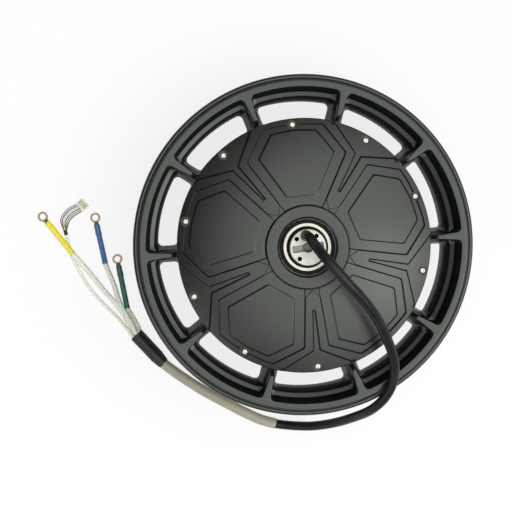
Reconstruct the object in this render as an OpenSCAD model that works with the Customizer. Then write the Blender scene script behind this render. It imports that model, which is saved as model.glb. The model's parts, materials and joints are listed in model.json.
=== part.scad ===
// Electric unicycle hub motor. A cast wheel rim with ten spokes carries a drum, two patterned
// lids and a ring of magnets, and turns on two ball bearings round a fixed axle with the stator.
// The cable leaves the axle's upper end, arches over the lid and the rim, and lies on the floor.
// The origin is on the axle's line at its lower end face. +Z runs up the axle's line, and +X
// runs along the key slot in the axle's end. Heights called h are measured from the mid-plane.

/* [Axle] */
// Length of the axle from end face to end face
axle_len = 136; // [132:1:150]
// Radius of the axle's end stubs
axle_end_r = 20.5; // [20.2:0.1:21.5]
// Chamfer on the axle's end edges
axle_chamfer = 1; // [0.5:0.1:1.5]
// Radius of the shoulder that the stator sits on
shoulder_r = 27; // [26.4:0.1:28]
// Radius of the hole for the cable
cable_hole_r = 6.2; // [6:0.05:6.3]
// Distance of the cable hole from the axle's line
cable_hole_off = 13; // [12.6:0.1:13.1]
// Radius of the tapped holes in the axle's ends
end_bolt_r = 2.5; // [2.1:0.1:2.6]
// Diameter of the circle of tapped holes
end_bolt_pcd = 31; // [30:0.5:32]
// Depth of the tapped holes
end_bolt_depth = 14; // [10:1:20]
// Length of the key slot in the axle's ends
key_slot_len = 35; // [32:0.5:36]
// Width of the key slot
key_slot_w = 8; // [7:0.25:9]
// Depth of the key slot
key_slot_depth = 4.5; // [3:0.25:6]
// Radius of the recess in the middle of the key slot
centre_recess_r = 5.8; // [5:0.1:6]
// Depth of the middle recess below the end face
centre_recess_depth = 7; // [6.5:0.25:10]

/* [Bearings] */
// Bore radius of the bearings
bearing_bore_r = 22.5; // [22.3:0.1:22.6]
// Outer radius of the bearings
bearing_out_r = 34; // [33.8:0.1:34.3]
// Width of the bearings
bearing_w = 12; // [11.5:0.25:12.5]
// Outer radius of the inner ring
race_in_r = 26.2; // [26:0.1:26.4]
// Inner radius of the outer ring
race_out_r = 31; // [30.9:0.1:31.2]
// Radius of the balls
ball_r = 3; // [2.8:0.05:3.05]
// Number of balls in a bearing
ball_count = 17; // [12:1:18]

/* [Rim] */
// Outer radius of the rim over its rounded lips
rim_r = 191.5; // [190:0.5:194]
// Half thickness of the rounded lip
lip_bead_r = 3.2; // [2.8:0.1:3.4]
// Height of the lip's widest circle
lip_h = 35; // [34.5:0.25:36]
// Height of the flat side face of the rim
face_h = 42; // [41.5:0.25:43]
// Outer radius of the flat side face
face_out_r = 184.5; // [184:0.25:185]
// Inner radius of the flat side face
face_in_r = 177.6; // [176.5:0.1:178.5]
// Outer radius of the ledge inside the face
ledge_out_r = 173.9; // [173:0.1:174.5]
// Inner radius of the ledge
ledge_in_r = 167.5; // [167:0.1:168.5]
// Height of the ledge
ledge_h = 24.4; // [23:0.2:25.5]
// Radius of the rim's waist, its smallest inner radius
waist_r = 164; // [163:0.25:164.5]
// Half height of the straight part of the waist
waist_h = 8; // [6:0.5:9]
// Radius of the tyre's bead seat
bead_seat_r = 177.4; // [176.5:0.1:178]
// Half of the distance between the flanges inside the tyre
tyre_half_w = 31.75; // [31:0.25:32]
// Radius of the well under the tyre
well_r = 168.5; // [168:0.25:169.5]
// Radius of the tyre valve's hole
valve_hole_r = 5.65; // [4:0.05:6]

/* [Spokes] */
// Number of spokes
spoke_count = 10; // [8:1:10]
// Direction of the first spoke in degrees
spoke_start = 66.7; // [60:0.1:72]
// Width of the spoke's bar at its outer end
bar_out_w = 9.5; // [8:0.25:11]
// Width of the spoke's bar at its inner end
bar_in_w = 5; // [4:0.25:6]
// Distance from the lid's edge to where the bar's top starts to fall
bar_start = 8.4; // [7.5:0.1:11]
// Width of the spoke's web at the mid-plane
web_w = 18.5; // [16:0.5:20]
// Radius in the corners of the windows
window_corner_r = 6; // [3:0.5:7]

/* [Drum] */
// Outer radius of the drum
drum_r = 141; // [140.5:0.25:141.5]
// Thickness of the drum's wall
drum_wall = 12; // [11.5:0.1:12.4]
// Half height of the drum
drum_h = 35; // [34.5:0.25:35.25]
// Width of the step that the magnet ring rests on
drum_step = 4; // [2:0.25:4.5]

/* [Lids] */
// How far the lids reach past the drum's wall
lid_overhang = 1.6; // [1.2:0.1:2]
// Height of the dome's recessed surface at the lid's edge
dome_edge_h = 38; // [37.5:0.25:38.5]
// Height of the dome's recessed surface at the boss
dome_boss_h = 61.5; // [60.5:0.25:61.75]
// Thickness of the lid under the recessed surface
lid_t = 5; // [4:0.25:6]
// Outer radius of the boss round the bearing
boss_r = 45.5; // [45:0.25:46.5]
// Height of the boss's flat top
boss_h = 64.5; // [64.2:0.1:65]
// Height of the bearing's outer face
bearing_face_h = 60.4; // [60:0.1:60.8]
// Radius of the lip that covers the bearing's outer ring
boss_lip_r = 31.2; // [31.2:0.1:32]
// Height of the ribs above the recessed surface
rib_lift = 2.2; // [1.8:0.1:2.4]
// Height of the hexagon plates above the recessed surface
plate_lift = 1.2; // [0.6:0.1:1.6]
// Depth of the lid's spigot inside the drum
spigot_depth = 5; // [3:0.25:7]
// Wall of the lid's spigot
spigot_wall = 5; // [4:0.25:6]

/* [Lid pattern] */
// Number of panels on a lid
panel_count = 5; // [5:1:5]
// Direction of the first panel in degrees
panel_start = 87.2; // [80:0.1:95]
// Half width of a panel's outer corners, and their distance inside the lid's edge
panel_top = [35.5, 10.6];
// Half width of a panel's widest corners, and their distance inside the lid's edge
panel_wide = [55, 43.6];
// Half width of a panel's inner corners, and their distance outside the boss
panel_low = [26, 4.5];
// Half width of a panel's feet, and their distance outside the boss
panel_foot = [20.5, -6];
// Distance of the panel's curved outer edge inside the lid's edge
panel_edge = 7.1; // [6.8:0.1:7.6]
// Radius of the panel's curved outer edge
panel_arc_r = 182; // [170:1:200]
// Half width of a plate's outer corners, and their distance inside the lid's edge
plate_top = [25, 15.6];
// Half width of a plate's widest corners, and their distance inside the lid's edge
plate_wide = [42, 41.6];
// Half width of a plate's inner corners, and their distance outside the boss
plate_low = [16.5, 11];
// Distance of the middle of the plate's outer edge inside the lid's edge
plate_edge = 13.1; // [11.6:0.1:14.6]
// Radius on the corners of panels and plates
pattern_corner_r = 2.5; // [1:0.25:3]
// Half width at the tip of the slot between two panels, and its distance outside the boss
slot_tip = [1.2, 25];
// Half width at the neck of the slot, and its distance inside the lid's edge
slot_neck = [3.7, 26.1];
// Half width at the mouth of the slot, and its distance inside the lid's edge
slot_mouth = [44, 5.1];
// Distance of the rib's pointed end outside the boss
rib_tip = 1.5; // [1:0.1:4.5]

/* [Lid screws] */
// Number of screws in a lid
screw_count = 10; // [5:5:10]
// Distance of the circle of screws inside the drum's outer wall
screw_inset = 5; // [4.8:0.1:5.2]
// Height of the seat under the screw heads
screw_seat_h = 37.5; // [37:0.1:37.8]
// Radius of the screw shanks
screw_r = 2; // [1.5:0.1:2]
// Radius of the screw heads
screw_head_r = 3.8; // [3.5:0.1:4]
// Height of the screw heads
screw_head_h = 2.2; // [1.8:0.1:2.4]
// Length of the screws under the head
screw_len = 12; // [8:1:16]
// Radius of the counterbores round the screw heads
screw_cbore_r = 5.2; // [4.5:0.1:5.4]
// Width across the flats of the screws' sockets
socket_flats = 2.5; // [2:0.25:3]
// Depth of the screws' sockets
socket_depth = 1.2; // [0.8:0.1:1.6]

/* [Motor] */
// Number of teeth on the stator
tooth_count = 63; // [63:9:63]
// Gap between the stator and the magnets
air_gap = 0.45; // [0.4:0.05:0.8]
// Depth of the steel stack from its bore to the tips of the teeth
stack_depth = 24.8; // [23:0.2:26.6]
// Half height of the steel stack
stack_half_h = 17; // [14:0.25:18]
// Width of a tooth
tooth_w = 5; // [4:0.1:5.4]
// Thickness of the stack's ring behind the teeth
yoke_t = 5; // [4:0.25:6]
// Half of the gap between neighbouring coils at the slots' floors
slot_gap = 0.27; // [0.15:0.01:1]
// Radius of the openings in the stator's carrier
carrier_hole_r = 16; // [8:0.5:20]
// Number of magnets
magnet_count = 56; // [40:2:56]
// Thickness of the magnets
magnet_t = 3; // [2.5:0.1:3.2]
// Gap between neighbouring magnets
magnet_gap = 1.1; // [0.5:0.1:3]
// Half length of the magnets
magnet_half_len = 18; // [15:0.5:20]
// Thickness of the steel ring behind the magnets
back_iron_t = 5.5; // [4.5:0.1:5.6]
// Half height of the steel ring
back_iron_half_h = 20; // [19:0.5:22]

/* [Cable] */
// Diameter of the cable's black jacket
jacket_d = 11; // [8:0.25:11]
// Diameter of the pale sleeve over the cable's far half
sleeve_d = 12.5; // [11:0.25:12.5]
// Length of the shrunk tube where the leads part
boot_len = 47; // [35:1:60]
// Radius of the shrunk tube
boot_r = 9; // [8.6:0.1:9]
// Diameter of a motor lead
lead_d = 6; // [4:0.25:6]
// Diameter of the sensor lead
hall_d = 4; // [3:0.25:4]
// Diameter of a sensor wire
wire_d = 1.3; // [1:0.1:1.4]
// Diameter of the coloured tubes on the motor leads
marker_d = 7; // [6.5:0.25:7]
// Outer radius of the ring terminals
ring_r = 6; // [5:0.25:7]
// Radius of the hole in the ring terminals
ring_hole_r = 3.6; // [2.5:0.1:4]
// Thickness of the ring terminals
ring_t = 1.2; // [0.8:0.1:1.6]
// Distance from the end of the coloured tube to the ring's centre
ring_reach = 8; // [7:0.25:12]
// Length of the terminals' barrels
barrel_len = 13.5; // [11:0.5:16]
// How far the barrels show past the coloured tubes
barrel_out = 1.5; // [0:0.25:3]
// Wall of the terminals' barrels
barrel_wall = 0.8; // [0.5:0.1:1.2]
// Width of the sensor plug along its row of wires
plug_w = 12.5; // [11.5:0.25:14]
// Length of the sensor plug
plug_len = 9; // [8:0.25:11]
// Height of the sensor plug
plug_h = 6; // [5:0.25:7]

/* [Clearances] */
// Radial gap of a press fit in the model
press_gap = 0.01; // [0.01:0.01:0.03]
// Gap between copper and steel, and other glued faces
glue_gap = 0.1; // [0.05:0.01:0.15]
// Radial play of the balls in their grooves
ball_play = 0.05; // [0.03:0.01:0.08]
// Gap between the bearing shields and the inner ring
shield_gap = 0.1; // [0.05:0.01:0.2]
// Radial gap round the lid screws
screw_gap = 0.25; // [0.1:0.05:0.4]

/* [Hidden] */

$fn = 96;
fine = 240;
eps = 0.5;
mid = axle_len / 2;

// Sizes that follow from the drum's
drum_bore_r = drum_r - drum_wall;
lid_r = drum_r + lid_overhang;
bar_in_r = lid_r + bar_start;
screw_pcr = drum_r - screw_inset;

// The dome is a ball's cap through the lid's edge and the foot of the boss
dome_centre = (lid_r * lid_r - boss_r * boss_r + dome_edge_h * dome_edge_h - dome_boss_h * dome_boss_h)
  / (2 * (dome_edge_h - dome_boss_h));
dome_r = norm([lid_r, dome_edge_h - dome_centre]);
lid_hollow_r = drum_bore_r - spigot_wall;

// Bearings: the inner faces rest on the axle's shoulder, the outer rings under the boss lip
bearing_seat_h = bearing_face_h - bearing_w;
ball_pcr = (race_in_r + race_out_r) / 2;
shield_t = 0.8;
shield_inset = 0.3;
cage_half_w = 0.9;
cage_half_h = 3.8;

// Stator and magnets
magnet_seat_r = drum_bore_r - back_iron_t;
magnet_w = 2 * (magnet_seat_r - magnet_t) * tan(180 / magnet_count) - magnet_gap;
magnet_back_r = sqrt(pow(magnet_seat_r, 2) - pow(magnet_w / 2, 2)) - glue_gap;
stator_r = magnet_back_r - magnet_t - air_gap;
stack_bore_r = stator_r - stack_depth;
slot_floor_r = stack_bore_r + yoke_t;
tooth_pitch = 360 / tooth_count;
tooth_tip_angle = tooth_pitch / 2 - 0.38;
tooth_tip_t = 1.4;
coil_in_r = slot_floor_r + 0.6;
coil_out_r = stator_r - 4;
coil_half_w = coil_in_r * tan(tooth_pitch / 2) - slot_gap;
coil_top_h = stack_half_h + coil_half_w;

// Seal groove in the drum's end faces
seal_inset = 2.4;
seal_r = drum_bore_r + seal_inset;
seal_w = 2.2;
seal_h = 1.6;

// Keyway of the stator
key_w = 8;
key_h = 7;
key_half_len = 18;
key_in_r = shoulder_r - 4;

// Window in the axle that the leads leave by
window_low_h = 22;
window_high_h = 44;
cable_hole_low_h = 20;

// Route of the cable: up out of the axle, over the lid and the rim, down to the floor
jacket_route = [
  [0, 13, 136], [0, 13, 146], [1, 11, 160], [4, 3, 174], [10, -9, 185], [20, -25, 190],
  [31, -42, 188], [43, -59, 180], [54, -77, 170], [63, -96, 158], [70, -116, 146],
  [75, -135, 135], [75, -153, 127], [70, -170, 121], [60, -185, 112], [46, -198, 96],
  [29, -208, 72], [9, -216, 48], [-14, -220, 28], [-36, -219, 14], [-58, -214, 7]
];
sleeve_route = [
  [-58, -214, 7], [-75, -206, 6.5], [-93, -194, 6.5], [-110, -181, 6.5], [-127, -168, 6.5],
  [-144, -154, 6.5], [-160, -139, 7], [-171, -128, 8], [-180, -118, 9]
];
boot_back = [-180, -118, 9];
boot_turn = 123.7;
yellow_route = [
  [-209, -80, 6.5], [-212, -69, 4.6], [-217, -54, 3.2], [-225, -38, 3.2], [-235, -22, 3.4],
  [-245, -4, 5], [-254, 12, 7.4], [-264, 28, 9]
];
blue_route = [
  [-206, -78, 12.4], [-209, -67, 12], [-213, -56, 10.6], [-218, -43, 8], [-221, -30, 5],
  [-223, -16, 3.6], [-226, -3, 3.5], [-229, 11, 3.5]
];
green_route = [[-202, -75, 6.5], [-204, -67, 5], [-208, -56, 3.8], [-212, -46, 3.5]];
hall_route = [
  [-210, -81, 11.4], [-216, -70, 9.8], [-223, -58, 5.6], [-232, -46, 2.6], [-241, -34, 2.2],
  [-250, -19, 2.2], [-257, -4, 2.2], [-262, 10, 2.2], [-266, 24, 2.2], [-268, 38, 2.2],
  [-269, 52, 2.4]
];
hall_end_len = 6;
hall_end_turn = 95;
// Yaw, tilt and length of the coloured tubes, each from the end of its lead
yellow_marker = [120, 5, 50];
blue_marker = [93, 0, 48];
green_marker = [92, 0, 52];
marker_floor = 2;
marker_bore_r = lead_d / 2 - 0.1;
// Middle line of the six sensor wires, and how far they spread at each point
wire_line = [[-269.5, 58, 2.4], [-268, 69, 2.2], [-260, 77, 2.2], [-248, 82, 3]];
wire_spread = [0.35, 1, 1.1, 1];
wire_pitch = 2;
plug_turn = 35;

// Inner leads, from the end of the cable inside the axle to the windings and the sensor board
tail_r = 1.6;
hall_tail_r = 1.4;
tail_top_h = 44;
u_tail = [[-3.5, 11.8, 44], [-3.5, 11.8, 38], [-3.8, 20, 35], [-4, 30, 35],
          [-22, 94, 35], [-23.2, 101.4, 30]];
v_tail = [[3.5, 11.8, 44], [3.5, 11.8, 38], [3.8, 20, 35], [4, 30, 35], [17.5, 95, 35], [18.1, 102.4, 30]];
w_tail = [[0, 9.8, 44], [0, 9.8, 33.5], [0, 19, 30.5], [-2.4, 97, 30.5], [-2.6, 104, 28]];
h_tail = [[0, 15.6, 44], [0, 15.6, 42], [0.8, 21, 40], [1.4, 29, 40], [50, 88, 39], [55, 95, 34]];
board_start = 43;
board_sweep = 34;
board_w = 15.4;
board_out_r = stator_r - 0.4;
board_in_r = board_out_r - board_w;
board_t = 1.6;
sensor_angles = [50, 60, 70];
sensor_w = 4;

// A closed outline from its upper half, mirrored in the mid-plane
function mirrored(half) = concat(half, [for (i = [len(half) - 1:-1:0]) [half[i].x, -half[i].y]]);

function unit(v) = v / norm(v);
function polar(r, a) = [r * cos(a), r * sin(a)];

// A polygon's corners, each replaced by a short arc that starts and ends cut back by r
function rounded(pts, r, steps = 3) = [
  for (i = [0:len(pts) - 1])
    let (p = pts[i], a = unit(pts[(i + len(pts) - 1) % len(pts)] - p),
         b = unit(pts[(i + 1) % len(pts)] - p))
      for (s = [0:steps]) let (t = s / steps) p + r * (a * pow(1 - t, 2) + b * t * t)
];

// Corner points at a distance inside the lid's edge, or outside the boss
function inside_edge(p) = [p.x, lid_r - p.y];
function outside_boss(p) = [p.x, boss_r + p.y];

// An outline from the points on one side of its axis, in order from one end to the other
function both_halves(half) =
  concat(half, [for (i = [len(half) - 1:-1:0]) if (half[i].x > 0) [-half[i].x, half[i].y]]);

// A route with one more point, straight below or above its end
function to_height(route, h) = let (p = route[len(route) - 1]) concat(route, [[p.x, p.y, h]]);

// Directions and side vectors along a route, for a tube swept along it
function heading(path, i) = unit(path[min(i + 1, len(path) - 1)] - path[max(i - 1, 0)]);
function carried(path, side, i = 0) =
  let (t = heading(path, i), n = unit(side - (side * t) * t))
    i == len(path) - 1 ? [n] : concat([n], carried(path, n, i + 1));

module at_mid() { translate([0, 0, mid]) children(); }

module both_sides() {
  children();
  mirror([0, 0, 1]) children();
}

module around(count, start = 0) {
  for (i = [0:count - 1]) rotate([0, 0, start + i * 360 / count]) children();
}

// A tube of diameter d swept along a route, as one closed mesh
module swept_tube(path, d, sides = 12, side = [1, 0, 0]) {
  n = carried(path, side);
  last = len(path) - 1;
  points = [
    for (i = [0:last]) let (t = heading(path, i), u = n[i], v = cross(t, u))
      for (k = [0:sides - 1]) path[i] + d / 2 * (cos(k * 360 / sides) * u + sin(k * 360 / sides) * v)
  ];
  walls = [
    for (i = [0:last - 1]) for (k = [0:sides - 1])
      let (a = i * sides + k, b = i * sides + (k + 1) % sides)
        each [[a, a + sides, b + sides], [a, b + sides, b]]
  ];
  ends = [[for (k = [0:sides - 1]) k], [for (k = [sides - 1:-1:0]) last * sides + k]];
  polyhedron(points = points, faces = concat(walls, ends), convexity = 6);
}

// Axle

module axle() {
  color("silver") at_mid() difference() {
    rotate_extrude() polygon(mirrored([
      [0, mid], [axle_end_r - axle_chamfer, mid], [axle_end_r, mid - axle_chamfer],
      [axle_end_r, bearing_face_h - 1], [bearing_bore_r, bearing_face_h - 1],
      [bearing_bore_r, bearing_seat_h], [shoulder_r, bearing_seat_h]
    ]));
    both_sides() axle_end_cuts();
    translate([0, cable_hole_off, cable_hole_low_h]) cylinder(h = mid, r = cable_hole_r);
    cable_window();
    translate([-key_w / 2, -shoulder_r - eps, -key_half_len])
      cube([key_w, shoulder_r + eps - key_in_r, 2 * key_half_len]);
  }
}

// Key slot, middle recess and tapped holes in one end of the axle
module axle_end_cuts() {
  slot_run = key_slot_len / 2 - key_slot_w / 4;
  translate([-key_slot_len / 2, -key_slot_w / 4, mid - key_slot_depth])
    cube([key_slot_len, key_slot_w / 2, key_slot_depth + eps]);
  translate([-slot_run, -key_slot_w / 2, mid - key_slot_depth])
    cube([2 * slot_run, key_slot_w, key_slot_depth + eps]);
  for (x = [-1, 1], y = [-1, 1])
    translate([x * slot_run, y * key_slot_w / 4, mid - key_slot_depth])
      cylinder(h = key_slot_depth + eps, r = key_slot_w / 4, $fn = 32);
  translate([0, 0, mid - centre_recess_depth]) cylinder(h = centre_recess_depth + eps, r = centre_recess_r);
  around(4, 45) translate([end_bolt_pcd / 2, 0, mid - end_bolt_depth])
    cylinder(h = end_bolt_depth + eps, r = end_bolt_r, $fn = 48);
}

// Opening from the cable's hole to the inside of the motor
module cable_window() {
  reach = shoulder_r + eps - cable_hole_off;
  translate([-cable_hole_r, cable_hole_off, window_low_h])
    cube([2 * cable_hole_r, reach, window_high_h - window_low_h]);
}

module axle_key() {
  color("dimgray") at_mid()
    translate([-key_w / 2 + press_gap, -key_in_r - key_h + press_gap, -key_half_len + press_gap])
      cube([key_w - 2 * press_gap, key_h - 2 * press_gap, 2 * (key_half_len - press_gap)]);
}

// Stator

module stator_carrier() {
  rim_in_r = stack_bore_r - 7;
  web = 6;
  hub_out_r = shoulder_r + 9;
  hub_h = stack_half_h + 3;
  color("lightgray") at_mid() difference() {
    rotate_extrude() polygon(mirrored([
      [shoulder_r + press_gap, hub_h], [hub_out_r, hub_h], [hub_out_r + 2, web], [rim_in_r - 1, web],
      [rim_in_r, stack_half_h], [stack_bore_r - press_gap, stack_half_h]
    ]));
    around(6) translate([(hub_out_r + rim_in_r) / 2, 0, -web - eps])
      cylinder(h = 2 * web + 2 * eps, r = carrier_hole_r);
    translate([-key_w / 2 - press_gap, -key_in_r - key_h - press_gap, -hub_h - eps])
      cube([key_w + 2 * press_gap, key_in_r + key_h - shoulder_r + 2, 2 * (hub_h + eps)]);
  }
}

// One tooth's share of the stack's outline: root, neck, tip and back
function tooth_outline(a) =
  let (root = norm([slot_floor_r, tooth_w / 2]), neck_r = stator_r - tooth_tip_t - 1.4,
       root_a = asin(tooth_w / 2 / root), neck_a = asin(tooth_w / 2 / neck_r))
    [
      polar(root, a - root_a), polar(neck_r, a - neck_a),
      polar(stator_r - tooth_tip_t, a - tooth_tip_angle), polar(stator_r, a - tooth_tip_angle),
      polar(stator_r, a + tooth_tip_angle), polar(stator_r - tooth_tip_t, a + tooth_tip_angle),
      polar(neck_r, a + neck_a), polar(root, a + root_a)
    ];

module stator_core() {
  color("slategray") at_mid() translate([0, 0, -stack_half_h]) linear_extrude(2 * stack_half_h)
    difference() {
      polygon([for (k = [0:tooth_count - 1]) each tooth_outline(k * tooth_pitch)]);
      circle(r = stack_bore_r);
    }
}

// The coils of one phase: three teeth in a row, then six teeth of the other phases
module winding(phase) {
  color("peru") at_mid() for (k = [0:tooth_count - 1]) if (floor((k % 9) / 3) == phase)
    rotate([0, 0, k * tooth_pitch]) translate([coil_in_r, 0, 0]) rotate([90, 0, 90])
      linear_extrude(coil_out_r - coil_in_r) difference() {
        union() {
          square([2 * coil_half_w, 2 * stack_half_h], center = true);
          for (s = [-1, 1]) translate([0, s * stack_half_h]) circle(r = coil_half_w, $fn = 32);
        }
        square([tooth_w + 2 * glue_gap, 2 * (stack_half_h + glue_gap)], center = true);
      }
}

module winding_u() { winding(0); }
module winding_v() { winding(1); }
module winding_w() { winding(2); }

module hall_board() {
  color("darkgreen") at_mid() translate([0, 0, coil_top_h]) rotate([0, 0, board_start])
    rotate_extrude(angle = board_sweep) translate([board_in_r, 0])
      square([board_out_r - board_in_r, board_t]);
}

module hall_sensors() {
  color("black") at_mid() for (a = sensor_angles)
    rotate([0, 0, a]) translate([board_out_r - 2.2, -sensor_w / 2, stack_half_h])
      cube([2, sensor_w, coil_top_h - stack_half_h]);
}

// Inner leads

module phase_tails() {
  color("ivory") at_mid() {
    for (tail = [u_tail, v_tail, w_tail]) swept_tube(to_height(tail, coil_top_h), 2 * tail_r, 8);
  }
}

module hall_tail() {
  color("white") at_mid() swept_tube(to_height(h_tail, coil_top_h + board_t), 2 * hall_tail_r, 8);
}

module cable_inner() {
  color("#141414") at_mid() translate([0, cable_hole_off, tail_top_h])
    cylinder(h = mid - tail_top_h, r = jacket_d / 2);
}

module cable_gland() {
  gland_len = 10;
  color("#202020") at_mid() translate([0, cable_hole_off, mid - gland_len]) difference() {
    cylinder(h = gland_len, r = cable_hole_r - press_gap);
    translate([0, 0, -eps]) cylinder(h = gland_len + 2 * eps, r = jacket_d / 2 + press_gap);
  }
}

// Bearings, drawn from their outer face inwards

module upper_bearing() { at_mid() translate([0, 0, bearing_seat_h]) children(); }
module lower_bearing() { at_mid() mirror([0, 0, 1]) translate([0, 0, bearing_seat_h]) children(); }

module race_groove() { translate([ball_pcr, bearing_w / 2]) circle(r = ball_r + ball_play, $fn = 48); }

module inner_ring() {
  edge = 0.6;
  bore = bearing_bore_r + press_gap;
  color("gainsboro") rotate_extrude() difference() {
    polygon([
      [bore + edge, 0], [race_in_r, 0], [race_in_r, bearing_w], [bore + edge, bearing_w],
      [bore, bearing_w - edge], [bore, edge]
    ]);
    race_groove();
  }
}

module outer_ring() {
  edge = 0.6;
  outside = bearing_out_r - press_gap;
  color("gainsboro") rotate_extrude() difference() {
    polygon([
      [race_out_r, 0], [outside - edge, 0], [outside, edge], [outside, bearing_w - edge],
      [outside - edge, bearing_w], [race_out_r, bearing_w]
    ]);
    race_groove();
  }
}

module shields() {
  color("#1a1a1a") for (z = [shield_inset, bearing_w - shield_inset - shield_t]) rotate_extrude()
    translate([race_in_r + shield_gap, z])
      square([race_out_r - press_gap - race_in_r - shield_gap, shield_t]);
}

module balls() {
  color("silver") around(ball_count) translate([ball_pcr, 0, bearing_w / 2]) sphere(r = ball_r, $fn = 48);
  color("goldenrod") difference() {
    translate([0, 0, bearing_w / 2]) rotate_extrude() translate([ball_pcr, 0])
      square([2 * cage_half_w, 2 * cage_half_h], center = true);
    around(ball_count) translate([ball_pcr - 2 * cage_half_w, 0, bearing_w / 2]) rotate([0, 90, 0])
      cylinder(h = 4 * cage_half_w, r = ball_r + ball_play, $fn = 48);
  }
}

module bearing_top_inner_ring() { upper_bearing() inner_ring(); }
module bearing_top_outer_ring() { upper_bearing() outer_ring(); }
module bearing_top_shields() { upper_bearing() shields(); }
module bearing_top_balls() { upper_bearing() balls(); }
module bearing_bottom_inner_ring() { lower_bearing() inner_ring(); }
module bearing_bottom_outer_ring() { lower_bearing() outer_ring(); }
module bearing_bottom_shields() { lower_bearing() shields(); }
module bearing_bottom_balls() { lower_bearing() balls(); }

// Wheel rim: one casting of rim, spokes and drum

module rim_section() {
  lip_r = rim_r - lip_bead_r;
  hump_h = tyre_half_w - 14.6;
  polygon(mirrored([
    [waist_r, waist_h], [ledge_in_r - 0.8, ledge_h - 1.6], [ledge_in_r, ledge_h - 0.6],
    [ledge_in_r + 1.2, ledge_h], [ledge_out_r - 1, ledge_h + 0.2], [ledge_out_r, ledge_h + 1.4],
    [face_in_r - 0.9, face_h - 2], [face_in_r - 0.2, face_h - 0.6], [face_in_r + 1, face_h],
    [face_out_r - 1.2, face_h], [face_out_r - 0.2, face_h - 0.6], [face_out_r + 0.5, face_h - 1.8],
    [lip_r - 2.2, lip_h + 2.6], [lip_r - 1, lip_h + 1.8], [lip_r, lip_h],
    [lip_r, lip_h - lip_bead_r], [lip_r - 2.3, tyre_half_w], [bead_seat_r + 2, tyre_half_w - 0.4],
    [bead_seat_r, tyre_half_w - 2.8], [bead_seat_r - 0.7, hump_h + 1.1],
    [bead_seat_r - 0.1, hump_h], [bead_seat_r - 0.5, hump_h - 1.8],
    [well_r + 1.2, 7.6], [well_r, 6]
  ]));
  for (s = [-1, 1]) translate([lip_r, s * lip_h]) circle(r = lip_bead_r, $fn = 48);
}

module drum_section() {
  step_h = back_iron_half_h;
  polygon([
    [drum_bore_r, drum_h], [drum_r - 0.6, drum_h], [drum_r, drum_h - 0.6],
    [drum_r, -drum_h + 0.6], [drum_r - 0.6, -drum_h], [drum_bore_r, -drum_h],
    [drum_bore_r, -step_h - drum_step], [drum_bore_r - drum_step, -step_h - drum_step / 2],
    [drum_bore_r - drum_step, -step_h], [drum_bore_r, -step_h]
  ]);
}

// A fillet in the corner between a spoke's side at y and a round wall of radius wall_r.
// The wall is the rim's, outside the window, or the drum's, inside it. The fillet dips into the
// wall a little, so that it meets it at a shallow angle and not in a bare touch.
module corner_fillet(y, wall_r, fillet_r, outer) {
  dip = 0.35;
  centre_r = outer ? wall_r - fillet_r + dip : wall_r + fillet_r - dip;
  buried_r = outer ? wall_r + 1.5 : wall_r - 1.5;
  c = [sqrt(pow(centre_r, 2) - pow(y + fillet_r, 2)), y + fillet_r];
  difference() {
    polygon([c, [c.x, y - eps], [buried_r, y - eps], unit(c) * buried_r]);
    translate(c) circle(r = fillet_r, $fn = 48);
  }
}

module mirrored_fillet(y, wall_r, fillet_r, outer) {
  for (s = [0, 1]) mirror([0, s]) corner_fillet(y, wall_r, fillet_r, outer);
}

// The web under the bars, as a bar with sloped sides, and the fillets in the windows' corners
module spoke_web() {
  start = drum_r - 4;
  run = waist_r + 3.4 - start;
  flat_h = 5;
  top_w = bar_out_w + 1;
  translate([start, 0, 0]) rotate([90, 0, 90]) linear_extrude(run) polygon([
    [web_w / 2, -flat_h], [web_w / 2, flat_h], [top_w / 2, ledge_h], [-top_w / 2, ledge_h],
    [-web_w / 2, flat_h], [-web_w / 2, -flat_h], [-top_w / 2, -ledge_h], [top_w / 2, -ledge_h]
  ]);
  translate([0, 0, -waist_h + 1]) linear_extrude(2 * (waist_h - 1)) {
    mirrored_fillet(web_w / 2 - 1, waist_r, window_corner_r, true);
    mirrored_fillet(web_w / 2 - 1, drum_r, window_corner_r, false);
  }
}

// The bar on one side of a spoke: level with the rim's face, falling under the lid's edge.
// Its end stays inside the rim's wall, under the bead seat and beside the flange.
module spoke_bar() {
  end_r = face_in_r + 4.4;
  under_seat = bead_seat_r - 1.4;
  reach = 4 * bar_out_w;
  intersection() {
    translate([0, 0, ledge_h - 2]) linear_extrude(face_h - ledge_h + 2) {
      polygon([
        [drum_r - 3, bar_in_w / 2], [bar_in_r - 1, bar_in_w / 2], [ledge_out_r - 4, bar_out_w / 2],
        [ledge_out_r + 1, bar_out_w / 2 + 0.8], [end_r, bar_out_w / 2 + 0.8],
        [end_r, -bar_out_w / 2 - 0.8], [ledge_out_r + 1, -bar_out_w / 2 - 0.8],
        [ledge_out_r - 4, -bar_out_w / 2], [bar_in_r - 1, -bar_in_w / 2], [drum_r - 3, -bar_in_w / 2]
      ]);
      mirrored_fillet(bar_out_w / 2 + 0.5, face_in_r - 1, 5, true);
    }
    translate([0, reach / 2, 0]) rotate([90, 0, 0]) linear_extrude(reach) polygon([
      [drum_r - 4, ledge_h - 4], [under_seat, ledge_h - 4], [under_seat, tyre_half_w - 2.2],
      [under_seat + 2.2, tyre_half_w + 0.7], [end_r + 8, tyre_half_w + 1.2], [end_r + 8, face_h],
      [bar_in_r, face_h], [bar_in_r - 2.2, face_h - 1.2], [bar_in_r - 4.2, face_h - 4],
      [lid_r + 1.6, drum_h - 0.5], [drum_r - 4, drum_h - 1]
    ]);
  }
}

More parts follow.
